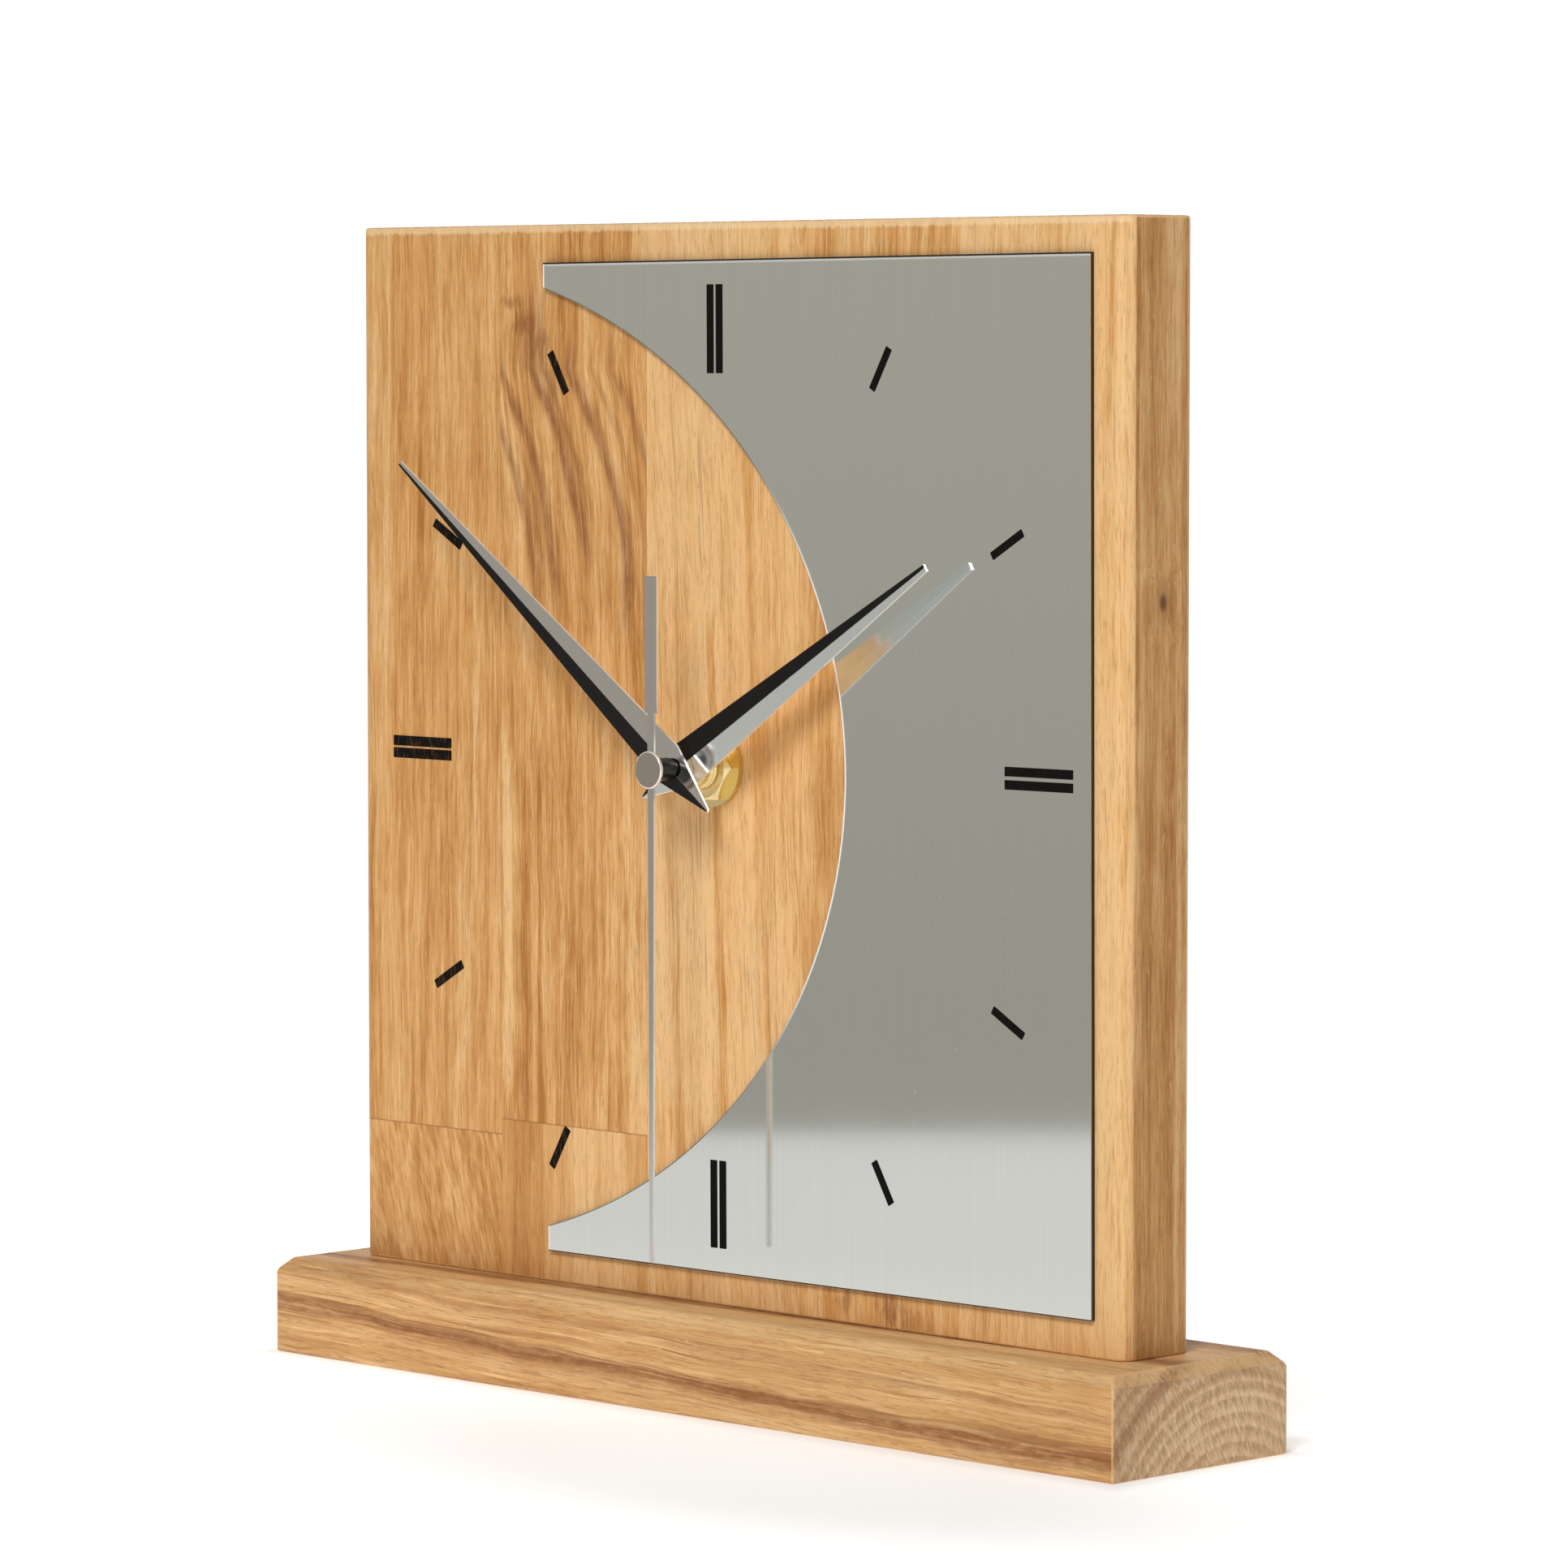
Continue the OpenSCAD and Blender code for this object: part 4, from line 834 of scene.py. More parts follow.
def pale_paper(name, stage):
    """Pale floor with its own light, dimmer round and before the base, that fades out behind the clock."""
    paint = Paint(name)
    spot = paint.place()
    x, y, z = paint.split(spot)
    face = paint.mix(paint.noise(spot, 6, 3) * 0.3, stage.paper, scaled(stage.paper, 0.985))
    pool = ((x - POOL_X) / POOL_WIDE).hypot((y - POOL_Y) / POOL_DEEP)
    lit = (y - x * 0.5).step(0.0, 120.0, 0.70, 1.0) * pool.step(0.3, 1.0, 0.55, 1.0)
    lit = lit * y.step(-130.0, -180.0, 1.0, 0.92)
    beside = (abs(x) - BASE_HIGH.x).most(abs(y) - BASE_HIGH.y).step(-1.0, 7.0, 0.5, 1.0)
    paint.set(
        Base_Color=face,
        Roughness=0.7,
        Specular_IOR_Level=0.2,
        Emission_Color=paint.mix(lit * beside, NO_LIGHT, stage.paper),
        Emission_Strength=stage.glow,
    )
    far = ((y - x) * DIAGONAL).step(*FADE)
    clear = paint.node("ShaderNodeBsdfTransparent")
    paper = Wire(paint, paint.shader.outputs[0])
    faded = paint.node("ShaderNodeMixShader", sockets={0: far, 1: paper, 2: clear})
    paint.plug(paint.tree.nodes["Material Output"].inputs["Surface"], faded)
    return paint.owner


# Meshes

# Points nearer than this are one, in metres
WELD = 1e-6
# Faces that meet at less than this are one flat area
FLAT = math.radians(0.3)
# Faces that meet at less than this look smooth
SMOOTH = math.radians(35.0)
# Edges of the base that turn by more than this are eased
SHARP = math.radians(25.0)
# How far in the board's rounded edges and the base's bevels reach, in millimetres
ROUND_REACH = 3.05
BEVEL_REACH = 2.5
# Points nearer than this are level, and along a line, in millimetres
LEVEL = 0.01
IN_LINE = 1e-4


def dress(nodes, material):
    """Gives CAD nodes whose shape is right a better material."""
    for name in nodes:
        data = frame["nodes"][name].data
        for index in range(len(data.materials)):
            data.materials[index] = material


def merged(node):
    """A node's mesh with its loose triangles joined and its flat areas made whole."""
    mesh = bmesh.new()
    mesh.from_mesh(frame["nodes"][node].data)
    bmesh.ops.remove_doubles(mesh, verts=mesh.verts, dist=WELD)
    bmesh.ops.dissolve_limit(mesh, angle_limit=FLAT, verts=mesh.verts, edges=mesh.edges)
    return mesh


def ends(edge):
    """Both ends of an edge, in millimetres."""
    return [v.co / MM for v in edge.verts]


def ease(mesh, edges, width):
    """Rounds edges of a mesh."""
    bmesh.ops.bevel(
        mesh,
        geom=edges,
        offset=width,
        offset_type="OFFSET",
        segments=3,
        profile=0.5,
        affect="EDGES",
        clamp_overlap=True,
    )


def finished(name, mesh, material):
    """A piece from a mesh: smooth where it is round, flat where it is flat."""
    for edge in mesh.edges:
        edge.smooth = edge.calc_face_angle(math.pi) < SMOOTH
    for face in mesh.faces:
        face.smooth = True
    data = bpy.data.meshes.new(name)
    mesh.to_mesh(data)
    mesh.free()
    data.materials.append(material)
    piece = bpy.data.objects.new(name, data)
    bpy.context.scene.collection.objects.link(piece)
    even = piece.modifiers.new("Even shading", "WEIGHTED_NORMAL")
    even.keep_sharp = True
    even.weight = 100
    return settle(piece)


def settle(piece):
    """Turns what a piece's modifiers make into its plain mesh."""
    bpy.context.view_layer.update()
    made = piece.evaluated_get(bpy.context.evaluated_depsgraph_get())
    data = bpy.data.meshes.new_from_object(made)
    data.name = piece.name
    old = piece.data
    piece.modifiers.clear()
    piece.data = data
    bpy.data.meshes.remove(old)
    return piece


def fit(piece, body, slot, *nodes):
    """Puts a piece on its body in place of its nodes."""
    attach(piece, body)
    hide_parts(*nodes)


# Node trees for what repeats


class Tree:
    """A Geometry Nodes tree with named inputs."""

    def __init__(self, name, inputs):
        self.group = bpy.data.node_groups.new(name, "GeometryNodeTree")
        face = self.group.interface
        self.ids = {}
        for label, kind in inputs:
            socket = face.new_socket(name=label, in_out="INPUT", socket_type=kind)
            self.ids[label] = socket.identifier
        face.new_socket(name="Geometry", in_out="OUTPUT", socket_type="NodeSocketGeometry")
        self.start = self.group.nodes.new("NodeGroupInput")
        self.end = self.group.nodes.new("NodeGroupOutput")

    def given(self, label):
        return self.start.outputs[label]

    def node(self, kind, settings=None, sockets=None):
        """Adds a node: its type, its settings, then the values or links of its sockets."""
        made = self.group.nodes.new(kind)
        for key, value in (settings or {}).items():
            setattr(made, key, value)
        for key, value in (sockets or {}).items():
            socket = made.inputs[key]
            if isinstance(value, list):
                for link in value:
                    self.group.links.new(link, socket)
            elif isinstance(value, bpy.types.NodeSocket):
                self.group.links.new(value, socket)
            else:
                socket.default_value = value
        return made.outputs[0]

    def sum(self, operation, first, second):
        return self.node("ShaderNodeMath", {"operation": operation}, {0: first, 1: second})

    def vector(self, **parts):
        return self.node("ShaderNodeCombineXYZ", sockets=parts)

    def moved(self, geometry, **change):
        return self.node("GeometryNodeTransform", sockets={"Geometry": geometry, **change})

    def joined(self, *parts):
        return self.node("GeometryNodeJoinGeometry", sockets={"Geometry": list(parts)})

    def close(self, geometry, material):
        real = self.node("GeometryNodeRealizeInstances", sockets={0: geometry})
        done = self.node("GeometryNodeSetMaterial", sockets={0: real, "Material": material})
        self.group.links.new(done, self.end.inputs[0])

    def grow(self, name, **values):
        """Makes a piece with the tree, its inputs set by their identifiers."""
        piece = bpy.data.objects.new(name, bpy.data.meshes.new(name))
        bpy.context.scene.collection.objects.link(piece)
        grown = piece.modifiers.new("Grown", "NODES")
        grown.node_group = self.group
        for label, value in values.items():
            grown[self.ids[label.replace("_", " ")]] = value
        return settle(piece)


def hour_mark_tree(material):
    """Printed bars round the dial: two long ones at each quarter, one short one at the other hours."""
    names = ("Reach", "Single length", "Single width", "Double length", "Double width")
    names += ("Gap", "Thickness", "Corner", "Rise at three", "Rise at nine", "Turn")
    inputs = [(name, "NodeSocketFloat") for name in names]
    inputs += [("First hour", "NodeSocketInt"), ("Hours", "NodeSocketInt"), ("Centre", "NodeSocketVector")]
    tree = Tree("Hour marks", inputs)
    given = tree.given

    def bar(width, long):
        sizes = {"Width": width, "Height": long}
        outline = tree.node("GeometryNodeCurvePrimitiveQuadrilateral", sockets=sizes)
        corners = {"Curve": outline, "Radius": given("Corner"), "Count": 3, "Limit Radius": True}
        rounded = tree.node("GeometryNodeFilletCurve", {"mode": "POLY"}, corners)
        sheet = tree.node("GeometryNodeFillCurve", {"mode": "NGONS"}, {"Curve": rounded})
        lift = {"Mesh": sheet, "Offset Scale": given("Thickness"), "Individual": False}
        raised = tree.node("GeometryNodeExtrudeMesh", sockets=lift)
        under = tree.node("GeometryNodeFlipFaces", sockets={"Mesh": sheet})
        both = tree.joined(raised, under)
        whole = tree.node("GeometryNodeMergeByDistance", sockets={"Geometry": both, "Distance": WELD})
        middle = tree.sum("ADD", given("Reach"), tree.sum("MULTIPLY", long, -0.5))
        return tree.moved(whole, Translation=tree.vector(Y=middle))

    def spread(chosen, shape):
        whole = tree.node("GeometryNodeGeometryToInstance", sockets={"Geometry": [shape]})
        sockets = {"Points": points, "Selection": chosen, "Instance": whole, "Rotation": turn}
        return tree.node("GeometryNodeInstanceOnPoints", sockets=sockets)

    single = bar(given("Single width"), given("Single length"))
    long_bar = bar(given("Double width"), given("Double length"))
    half = tree.sum("MULTIPLY", tree.sum("ADD", given("Double width"), given("Gap")), 0.5)
    sides = (half, tree.sum("MULTIPLY", half, -1.0))
    pair = tree.joined(*[tree.moved(long_bar, Translation=tree.vector(X=side)) for side in sides])
    points = tree.node("GeometryNodeMeshLine", sockets={"Count": given("Hours"), "Offset": (0.0, 0.0, 0.0)})
    hour = tree.sum("ADD", tree.node("GeometryNodeInputIndex"), given("First hour"))
    less = {"data_type": "FLOAT", "operation": "LESS_THAN"}
    quarter = tree.node("FunctionNodeCompare", less, {0: tree.sum("MODULO", hour, 3.0), 1: 0.5})
    usual = tree.node("FunctionNodeBooleanMath", {"operation": "NOT"}, {0: quarter})
    rises = [
        tree.sum("MULTIPLY", tree.sum("COMPARE", hour, float(raised)), given(label))
        for raised, label in ((3, "Rise at three"), (9, "Rise at nine"))
    ]
    rise = tree.vector(Y=tree.sum("ADD", *rises))
    points = tree.node("GeometryNodeSetPosition", sockets={"Geometry": points, "Offset": rise})
    turn = tree.vector(Z=tree.sum("MULTIPLY", hour, -math.pi / 6))
    dial = tree.joined(spread(quarter, pair), spread(usual, single))
    dial = tree.moved(dial, Rotation=tree.vector(Z=given("Turn")))
    dial = tree.moved(dial, Translation=given("Centre"), Rotation=(math.pi / 2, 0.0, 0.0))
    tree.close(dial, material)
    return tree


def winding_tree(material):
    """Wire wound in one even layer over a solid body of wire."""
    inputs = [("Turns", "NodeSocketFloat"), ("Sides", "NodeSocketInt"), ("Centre", "NodeSocketVector")]
    inputs += [(name, "NodeSocketFloat") for name in ("Radius", "Length", "Wire radius")]
    tree = Tree("Coil winding", inputs)
    given = tree.given
    path = tree.sum("SUBTRACT", given("Radius"), given("Wire radius"))
    turns = {
        "Resolution": 20,
        "Rotations": given("Turns"),
        "Start Radius": path,
        "End Radius": path,
        "Height": tree.sum("SUBTRACT", given("Length"), tree.sum("MULTIPLY", given("Wire radius"), 2.0)),
    }
    spiral = tree.node("GeometryNodeCurveSpiral", sockets=turns)
    circle = {"Resolution": given("Sides"), "Radius": given("Wire radius")}
    section = tree.node("GeometryNodeCurvePrimitiveCircle", sockets=circle)
    swept = {"Curve": spiral, "Profile Curve": section, "Fill Caps": True}
    wire = tree.node("GeometryNodeCurveToMesh", sockets=swept)
    wire = tree.moved(wire, Translation=tree.vector(Z=given("Wire radius")))
    core = {"Vertices": 40, "Radius": path, "Depth": given("Length")}
    body = tree.node("GeometryNodeMeshCylinder", sockets=core)
    body = tree.moved(body, Translation=tree.vector(Z=tree.sum("MULTIPLY", given("Length"), 0.5)))
    coil = tree.joined(wire, body)
    tree.close(tree.moved(coil, Translation=given("Centre"), Rotation=(0.0, math.pi / 2, 0.0)), material)
    return tree


# Wood of the board and the base, piece by piece

STAVES = {
    "stave_1_upper": Sawn(
        shift=(310, 20, 40),
        pith=(-150, -70),
        contrast=0.85,
        lines=0.35,
        rosy=0.4,
        joint=45.5,
    ),
    "stave_1_lower": Sawn(
        shift=(90, 340, 700),
        pith=(-40, -30),
        lean=0.16,
        bright=-0.02,
        contrast=0.45,
        lines=0.10,
        rays=0.9,
        joint=45.5,
        smudges=((-94.0, 18.0, 9.0, 6.0, 0.35), (-72.0, 17.0, 9.0, 6.0, 0.35)),
    ),
    "stave_2_upper": Sawn(
        shift=(520, 80, 210),
        pith=(60, -60),
        bright=-0.03,
        contrast=0.95,
        bow=(145.5, 0.0076, 46.0),
        bands=(
            (-58.2, 1.9, 44.0, 126.0, 0.42),
            (-49.3, 1.1, 40.0, 124.0, -0.45),
            (-53.0, 2.0, 40.0, 124.0, -0.14),
            (-22.6, 4.0, 40.0, 130.0, 0.30),
            (-30.0, 4.0, 60.0, 150.0, 0.12),
        ),
        veins=(
            (-44.6, 2.0, 142.0, 200.0, 0.80),
            (-35.6, 2.4, 150.0, 210.0, 0.90),
            (-32.6, 1.2, 158.0, 210.0, 0.60),
            (-25.0, 2.2, 138.0, 202.0, 0.85),
            (-50.7, 1.7, 138.0, 188.0, 0.75),
            (-47.6, 1.1, 138.0, 182.0, 0.50),
            (-13.5, 1.8, 160.0, 204.0, 0.55),
            (-19.0, 1.2, 150.0, 200.0, 0.40),
        ),
        smudges=(
            (-57.0, 204.0, 4.0, 1.6, 0.65),
            (-52.5, 200.0, 3.6, 2.4, 0.75),
            (-48.5, 196.0, 3.0, 4.0, 0.70),
            (-45.5, 189.0, 2.4, 6.0, 0.60),
            (-55.0, 196.0, 5.0, 7.0, 0.30),
        ),
        joint=48.5,
    ),
    "stave_2_lower": Sawn(
        shift=(150, 410, 820),
        pith=(120, -80),
        contrast=0.55,
        lines=0.30,
        bands=((-53.6, 7.4, -20.0, 70.0, -0.16), (-33.0, 15.0, -20.0, 70.0, 0.26)),
        joint=48.5,
    ),
    "stave_3": Sawn(
        shift=(730, 140, 330),
        pith=(220, -50),
        lean=0.04,
        bright=0.34,
        contrast=0.78,
        rosy=0.75,
        lines=0.42,
        flames=0.30,
        run=34.0,
        bands=(
            (0.0, 30.0, 10.0, 60.0, -0.16),
            (2.6, 1.6, 30.0, 150.0, -0.42),
            (14.0, 2.4, 60.0, 230.0, -0.22),
            (-9.5, 2.2, 20.0, 120.0, -0.18),
        ),
    ),
    "stave_4": Sawn(
        shift=(260, 550, 90),
        pith=(-120, -90),
        bright=0.10,
        contrast=0.85,
        lines=0.45,
        run=26.0,
        smudges=((31.6, 22.6, 3.6, 3.4, 0.60), (43.5, 21.6, 3.4, 4.4, 0.80), (49.0, 20.0, 6.0, 3.0, 0.40)),
    ),
    "stave_5": Sawn(
        shift=(640, 230, 510),
        pith=(180, -40),
        bright=0.33,
        contrast=0.90,
        flames=0.40,
        lines=0.30,
        flanks=(
            # The first flank darkens the whole side: painted shade
            (2.0, 12.0, -40.0, 300.0, -0.36),
            (4.6, 0.9, -40.0, 300.0, 0.22),
            (-3.0, 1.6, -40.0, 300.0, -0.14),
            (-6.2, 0.8, 110.0, 300.0, -0.45),
        ),
        knot=(0.4, 151.1, 1.3),
    ),
}
BASE = Sawn(
    along="X",
    shift=(40, 610, 270),
    pith=(-14.0, 8.0),
    lean=0.024,
    bright=-0.05,
    run=40.0,
    stretch=2.6,
    lines=0.50,
    flecks=0.5,
    flames=0.65,
    rosy=0.2,
    grey=0.34,
    # Painted light: the top of the base is made lighter
    top=0.36,
    shells=((37.0, 1.3, 0.95), (32.4, 0.8, 0.40), (29.8, 0.6, 0.30), (41.5, 0.6, 0.30)),
)


# Operators, one for each piece or group of like pieces


class CLOCK_OT_board(bpy.types.Operator):
    """Makes the board of glued oak staves"""

    bl_idname = "clock.board"
    bl_label = "Oak board"

    def execute(self, context):
        wood = context.scene.clock_wood
        for node, sawn in STAVES.items():
            mesh = merged(node)
            top, foot = self.sawn_edges(mesh)
            if top:
                ease(mesh, top, wood.top_ease)
            if foot:
                ease(mesh, [edge for edge in foot if edge.is_valid], wood.foot_ease)
            seams = [corner.x for corner in node_box(node) if abs(corner.x) < BOARD_HIGH.x - 1.0]
            piece = finished("board_" + node, mesh, oak("Oak " + node.replace("_", " "), wood, sawn, seams))
            fit(piece, "clock", "oak", node)
        return {"FINISHED"}

    def sawn_edges(self, mesh):
        """Edges round the sawn top and foot of a stave, without those on its glued sides."""
        top, foot = [], []
        for edge in mesh.edges:
            first, last = ends(edge)
            glued = abs(first.x - last.x) < IN_LINE and abs(abs(first.x) - BOARD_HIGH.x) > LEVEL
            if glued or not all(self.on_rim(p) for p in (first, last)):
                continue
            if all(abs(p.z - BOARD_HIGH.z) < LEVEL for p in (first, last)):
                top.append(edge)
            elif all(abs(p.z - BOARD_LOW.z) < LEVEL for p in (first, last)):
                foot.append(edge)
        return top, foot

    def on_rim(self, point):
        return any(abs(abs(point[axis]) - BOARD_HIGH[axis]) < ROUND_REACH for axis in (0, 1))


class CLOCK_OT_base(bpy.types.Operator):
    """Makes the bevelled base bar"""

    bl_idname = "clock.base"
    bl_label = "Oak base"

    def execute(self, context):
        wood = context.scene.clock_wood
        mesh = merged("base_bar")
        arris = [
            edge
            for edge in mesh.edges
            if all(self.outside(p) for p in ends(edge)) and edge.calc_face_angle(0.0) > SHARP
        ]
        ease(mesh, arris, wood.ease)
        fit(finished("base", mesh, oak("Oak base", wood, BASE)), "clock", "oak", "base_bar")
        return {"FINISHED"}

    def outside(self, point):
        return any(abs(point[axis]) > BASE_HIGH[axis] - BEVEL_REACH for axis in (0, 1))


class CLOCK_OT_plate(bpy.types.Operator):
    """Finishes the face plate"""

    bl_idname = "clock.plate"
    bl_label = "Face plate"

    def execute(self, context):
        scene = context.scene
        dress(["plate_skin"], brushed_plate("Brushed plate", scene.clock_metal, scene.clock_plate))
        dress(["plate_core"], black_core("Plate core"))
        return {"FINISHED"}


class CLOCK_OT_marks(bpy.types.Operator):
    """Prints the hour marks on the plate and on the wood"""

    bl_idname = "clock.marks"
    bl_label = "Hour marks"

    def execute(self, context):
        marks = context.scene.clock_marks
        plate = context.scene.clock_plate
        middle = BOARD_MIDDLE * MM
        rings = (
            ("marks_on_plate", "plate_marks", 0, 7, marks.plate_left, plate.drop, plate.turn, 0.0, 0.0),
            ("marks_on_wood", "wood_marks", 7, 5, marks.wood_left, marks.wood_drop, 0.0, marks.spread, 0.45),
        )
        for name, node, first, hours, left, drop, turn, spread, worn in rings:
            tree = hour_mark_tree(printed_ink("Black " + name.replace("_", " "), marks.ink, worn))
            piece = tree.grow(
                name,
                Reach=marks.reach + spread,
                Single_length=marks.single + 2 * spread,
                Single_width=marks.slim + 2 * spread,
                Double_length=marks.double + 2 * spread,
                Double_width=marks.wide + 2 * spread,
                Gap=marks.gap - 2 * spread,
                Thickness=marks.thick,
                Corner=marks.corner,
                Rise_at_three=marks.three,
                Rise_at_nine=marks.nine,
                Turn=turn,
                First_hour=first,
                Hours=hours,
                Centre=(middle.x - left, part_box(node)[1].y, middle.z - drop),
            )
            fit(piece, "clock", "mark_black", node)
        return {"FINISHED"}


class CLOCK_OT_hub(bpy.types.Operator):
    """Finishes the brass hub and its gasket"""

    bl_idname = "clock.hub"
    bl_label = "Brass hub"

    def execute(self, context):
        brass = context.scene.clock_metal.brass
        dress(["washer", "hex_nut", "threaded_bushing"], turned_metal("Bright brass", brass, rough=0.14))
        dress(["minute_cannon"], turned_metal("Cannon brass", brass, rough=0.22, worn=0.4, tip=CANNON_TIP))
        dress(["clutch_spring"], turned_metal("Turned brass", brass, rough=0.22, worn=0.4))
        rubber = context.scene.clock_plastic.rubber
        dress(["gasket"], moulded("Gasket rubber", rubber, rough=0.62, spark=0.06))
        return {"FINISHED"}


class CLOCK_OT_hands(bpy.types.Operator):
    """Finishes the two folded hands"""

    bl_idname = "clock.hands"
    bl_label = "Hour and minute hands"

    def execute(self, context):
        metal = context.scene.clock_metal
        for node, label, silver in (
            ("hour_hand", "Hour hand", metal.hour),
            ("minute_hand", "Minute hand", metal.hand),
        ):
            dress([node], folded_hand(label, metal, silver, hand_angle(node)))
        return {"FINISHED"}


class CLOCK_OT_seconds(bpy.types.Operator):
    """Finishes the second hand, its post and its cap"""

    bl_idname = "clock.seconds"
    bl_label = "Second hand"

    def execute(self, context):
        metal = context.scene.clock_metal
        post = context.scene.clock_plastic.post
        cap = turned_metal("Polished cap", metal.cap, rough=0.06, worn=0.10, pitch=0.08, rim=0.9)
        dress(["second_hand"], satin_silver("Second hand silver", metal))
        dress(["second_hand_post"], moulded("Black post", post, rough=0.30, spark=0.01))
        dress(["second_hand_cap"], cap)
        return {"FINISHED"}


class CLOCK_OT_case(bpy.types.Operator):
    """Finishes the movement's case and its setting knob"""

    bl_idname = "clock.case"
    bl_label = "Movement case"

    def execute(self, context):
        plastic = context.scene.clock_plastic
        case = moulded("Moulded black plastic", plastic.case, rough=0.46, spark=0.06)
        dress(["front_case", "rear_cover"], case)
        dress(["set_knob"], moulded("Knob plastic", plastic.gear, rough=0.40, spark=0.03))
        return {"FINISHED"}


class CLOCK_OT_battery(bpy.types.Operator):
    """Finishes the battery and its contacts"""

    bl_idname = "clock.battery"
    bl_label = "Battery"

    def execute(self, context):
        steel = context.scene.clock_metal.steel
        dress(["battery"], battery_sleeve("Battery sleeve", context.scene.clock_plastic, steel))
        dress(["contact_plus", "contact_minus"], rolled_steel("Contact steel", steel, rough=0.22))
        return {"FINISHED"}


class CLOCK_OT_train(bpy.types.Operator):
    """Finishes the wheels"""

    bl_idname = "clock.train"
    bl_label = "Wheels"

    def execute(self, context):
        plastic = context.scene.clock_plastic
        names = ("idler", "second", "third", "minute_drive", "motion", "hour")
        wheel = moulded("Wheel plastic", plastic.gear, rough=0.36, spark=0.02, fine=0.25)
        dress([name + "_wheel" for name in names], wheel)
        return {"FINISHED"}


class CLOCK_OT_motor(bpy.types.Operator):
    """Finishes the stepping motor and winds its coil"""

    bl_idname = "clock.motor"
    bl_label = "Motor"

    def execute(self, context):
        metal = context.scene.clock_metal
        plastic = context.scene.clock_plastic
        coil = context.scene.clock_coil
        dress(["stator", "coil_core"], rolled_steel("Stator steel", metal.steel, rough=0.34))
        dress(["rotor"], moulded("Magnet", plastic.magnet, rough=0.50, spark=0.04))
        dress(["coil_bobbin"], moulded("Bobbin plastic", plastic.gear, rough=0.40, spark=0.02))
        low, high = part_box("coil_winding")
        long = high.x - low.x
        tree = winding_tree(enamelled_wire("Enamelled copper", metal.copper))
        piece = tree.grow(
            "wound_coil",
            Turns=long / coil.wire - 1.0,
            Sides=coil.sides,
            Centre=(low.x, (low.y + high.y) / 2, (low.z + high.z) / 2),
            Radius=(high.z - low.z) / 2,
            Length=long,
            Wire_radius=coil.wire / 2,
        )
        fit(piece, "clock", "copper_wire", "coil_winding")
        return {"FINISHED"}


class CLOCK_OT_circuit(bpy.types.Operator):
    """Finishes the circuit board and what is on it"""

    bl_idname = "clock.circuit"
    bl_label = "Circuit"

    def execute(self, context):
        plastic = context.scene.clock_plastic
        steel = context.scene.clock_metal.steel
        dress(["circuit_board"], solder_mask("Solder mask", plastic.board))
        dress(["chip_cover"], moulded("Chip cover", plastic.chip, rough=0.32, spark=0.02))
        dress(["quartz_crystal"], rolled_steel("Crystal can", steel, rough=0.18))
        return {"FINISHED"}


class CLOCK_OT_screws(bpy.types.Operator):
    """Finishes the two screws under the base"""

    bl_idname = "clock.screws"
    bl_label = "Base screws"

    def execute(self, context):
        dress(["base_screws"], rolled_steel("Zinc screws", context.scene.clock_metal.steel, rough=0.30))
        return {"FINISHED"}


# Studio, in metres and degrees
FLOOR_REACH = 6.0
SOFTBOX_SIZE = (0.95, 0.8)
SOFTBOX_PLACE = Vector((0.87, -1.79, 1.77))
SOFTBOX_AIM = Vector((0.0, 0.0, 0.10))
SENSOR = 36.0
CLIP = (0.05, 100.0)
CAMERA_AIM = Vector((7.054, 0.0, 115.184)) * MM
CAMERA_AWAY = 1.245
CAMERA_YAW = 44.92
CAMERA_PITCH = 3.724


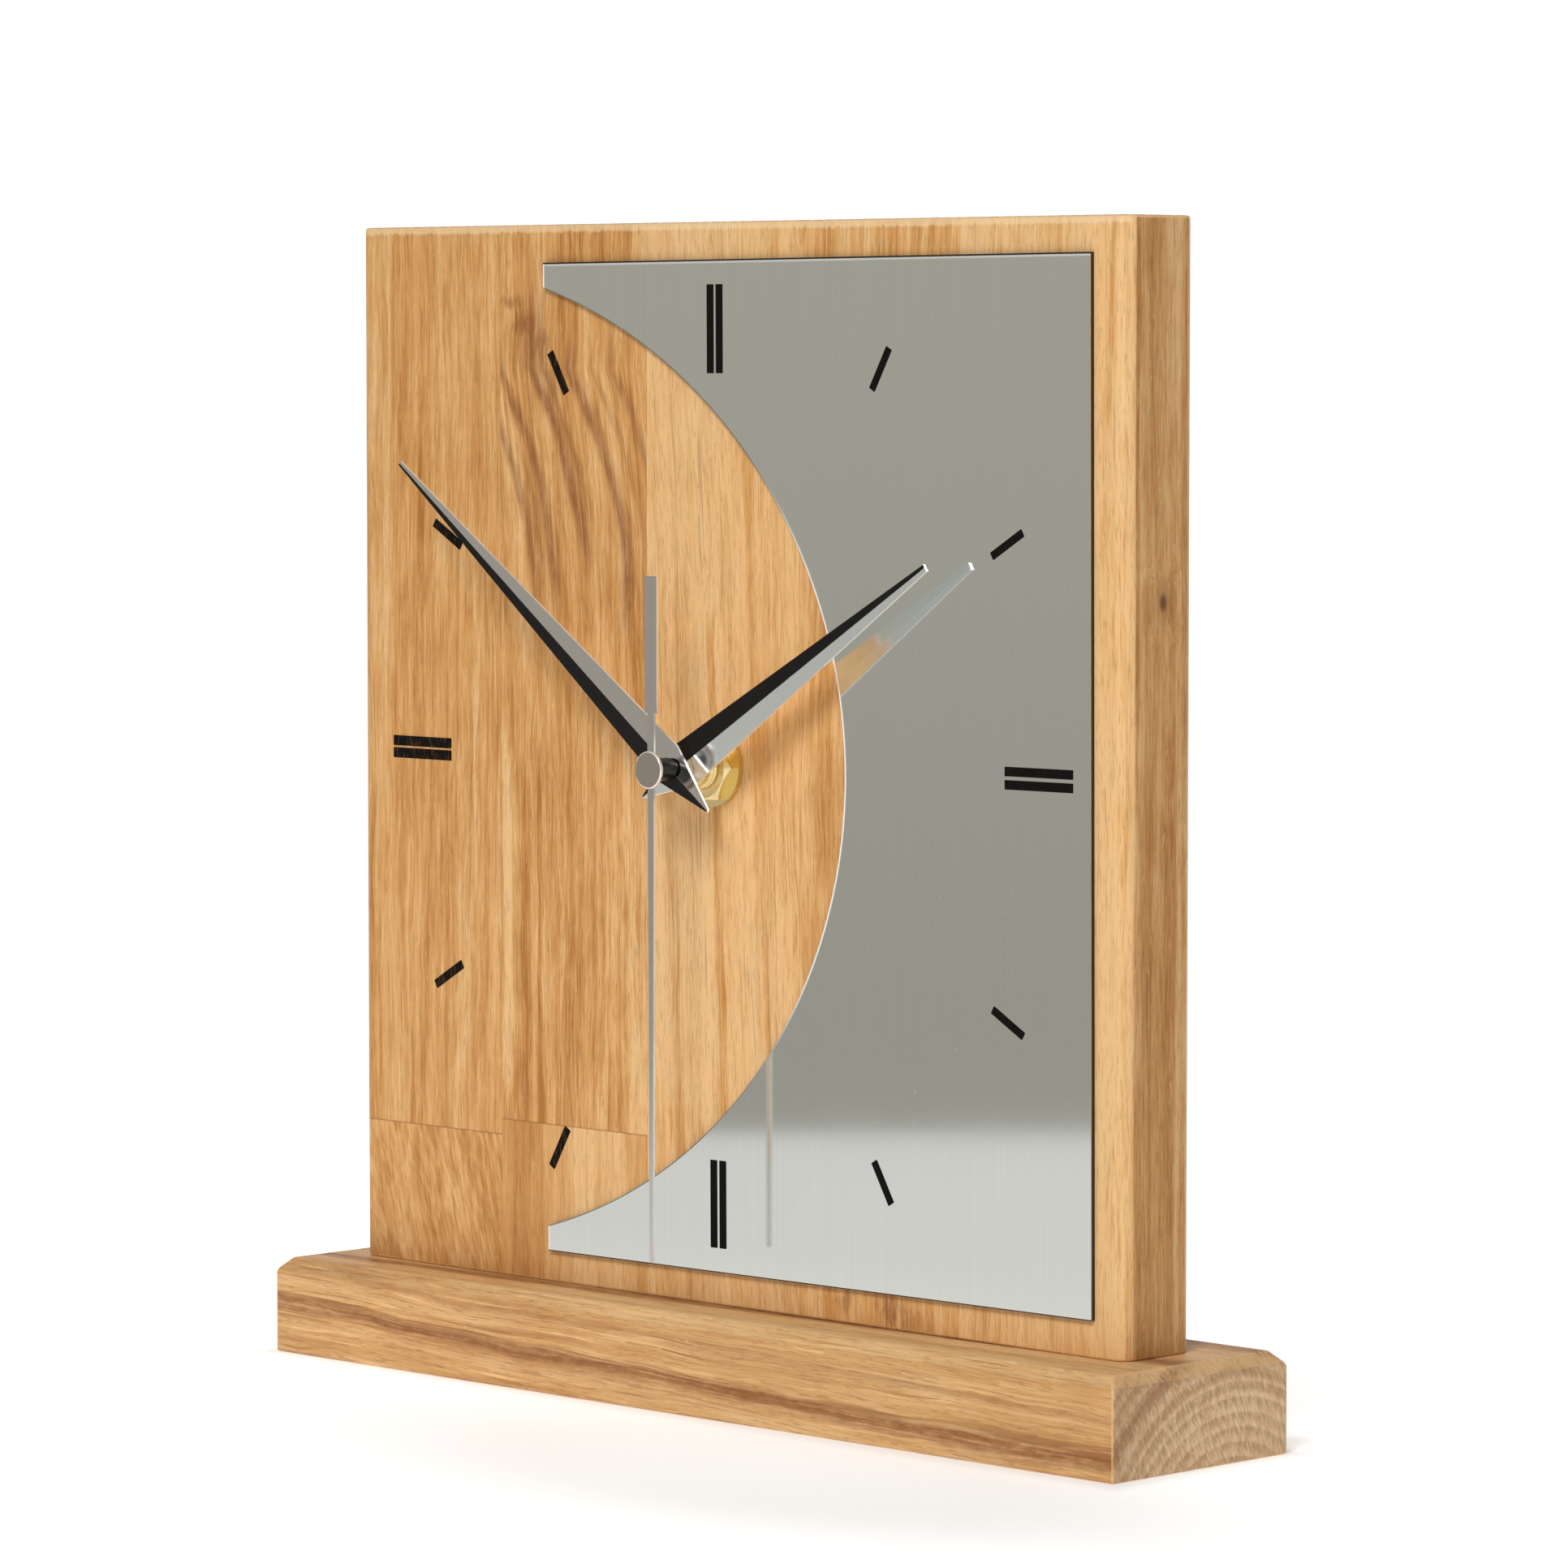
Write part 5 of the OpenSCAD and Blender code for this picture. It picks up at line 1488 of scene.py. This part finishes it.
class CLOCK_OT_stage(bpy.types.Operator):
    """Sets up the floor, the light and the camera"""

    bl_idname = "clock.stage"
    bl_label = "Studio"

    def execute(self, context):
        scene = context.scene
        scene.view_settings.view_transform = "Standard"
        for part in (self.floor, self.light, self.sky, self.camera):
            part(scene, scene.clock_stage)
        return {"FINISHED"}

    def floor(self, scene, stage):
        """A pale sheet that ends in front on the left and fades out behind the clock."""
        far = FLOOR_REACH
        corners = [(stage.edge, -far), (stage.edge, far), (-far, far), (-far, -far)]
        points = [(-DIAGONAL * (out + run), -DIAGONAL * (out - run), 0.0) for out, run in corners]
        data = bpy.data.meshes.new("floor")
        data.from_pydata(points, [], [(0, 1, 2, 3)])
        data.materials.append(pale_paper("Pale paper", stage))
        floor = bpy.data.objects.new("floor", data)
        scene.collection.objects.link(floor)

    def light(self, scene, stage):
        lamp = bpy.data.lights.new("Softbox", "AREA")
        lamp.shape = "RECTANGLE"
        lamp.size, lamp.size_y = SOFTBOX_SIZE
        lamp.energy = stage.key
        self.point(scene, lamp, SOFTBOX_PLACE, SOFTBOX_AIM - SOFTBOX_PLACE)

    def sky(self, scene, stage):
        """A white backdrop, and a soft grey room for the metal to mirror."""
        room = Paint("Studio", "worlds")
        scene.world = room.owner
        x, y, z = room.split(room.node("ShaderNodeTexCoord", output="Generated"))
        grey = room.mix(z.step(-0.12, 0.02), stage.shade, stage.grey)
        left = x.step(-0.82, -0.90) * z.step(-0.10, 0.10)
        grey = room.mix(left.most(y.step(0.20, 0.45)), grey, stage.panel)
        soft = room.mix(x.step(0.10, 0.80), stage.air, stage.side)
        mirrored = room.node("ShaderNodeLightPath", output="Is Glossy Ray")
        seen = room.node("ShaderNodeLightPath", output="Is Camera Ray")
        shown = room.mix(seen, room.mix(mirrored, soft, grey), WHITE)
        room.plug(room.tree.nodes["Background"].inputs["Color"], shown)

    def camera(self, scene, stage):
        lens = bpy.data.cameras.new("Camera")
        lens.lens = stage.lens
        lens.sensor_width = SENSOR
        lens.clip_start, lens.clip_end = CLIP
        yaw, pitch = math.radians(CAMERA_YAW), math.radians(CAMERA_PITCH)
        back = Vector((math.sin(yaw) * math.cos(pitch), -math.cos(yaw) * math.cos(pitch), math.sin(pitch)))
        scene.camera = self.point(scene, lens, CAMERA_AIM + back * CAMERA_AWAY, -back)

    def point(self, scene, data, place, line):
        """Puts a light or the camera in its place, looking along a line."""
        holder = bpy.data.objects.new(data.name, data)
        holder.location = place
        holder.rotation_euler = line.to_track_quat("-Z", "Y").to_euler()
        scene.collection.objects.link(holder)
        return holder


class CLOCK_PT_panel(bpy.types.Panel):
    """Lists the clock's pieces"""

    bl_label = "Oak table clock"
    bl_idname = "CLOCK_PT_panel"
    bl_space_type = "VIEW_3D"
    bl_region_type = "UI"
    bl_category = "Clock"

    def draw(self, context):
        for operator in OPERATORS:
            self.layout.operator(operator.bl_idname)


GROUPS = {
    "clock_wood": ClockWood,
    "clock_metal": ClockMetal,
    "clock_plastic": ClockPlastic,
    "clock_plate": ClockPlate,
    "clock_marks": ClockMarks,
    "clock_coil": ClockCoil,
    "clock_stage": ClockStage,
}
OPERATORS = (
    CLOCK_OT_board,
    CLOCK_OT_base,
    CLOCK_OT_plate,
    CLOCK_OT_marks,
    CLOCK_OT_hub,
    CLOCK_OT_hands,
    CLOCK_OT_seconds,
    CLOCK_OT_case,
    CLOCK_OT_battery,
    CLOCK_OT_train,
    CLOCK_OT_motor,
    CLOCK_OT_circuit,
    CLOCK_OT_screws,
    CLOCK_OT_stage,
)


def register():
    for name, group in GROUPS.items():
        bpy.utils.register_class(group)
        setattr(bpy.types.Scene, name, PointerProperty(type=group))
    for shown in (*OPERATORS, CLOCK_PT_panel):
        bpy.utils.register_class(shown)


def unregister():
    for shown in reversed((*OPERATORS, CLOCK_PT_panel)):
        bpy.utils.unregister_class(shown)
    for name, group in reversed(GROUPS.items()):
        delattr(bpy.types.Scene, name)
        bpy.utils.unregister_class(group)


def main():
    register()
    for operator in OPERATORS:
        group, name = operator.bl_idname.split(".")
        getattr(getattr(bpy.ops, group), name)()


if __name__ == "__main__":
    main()
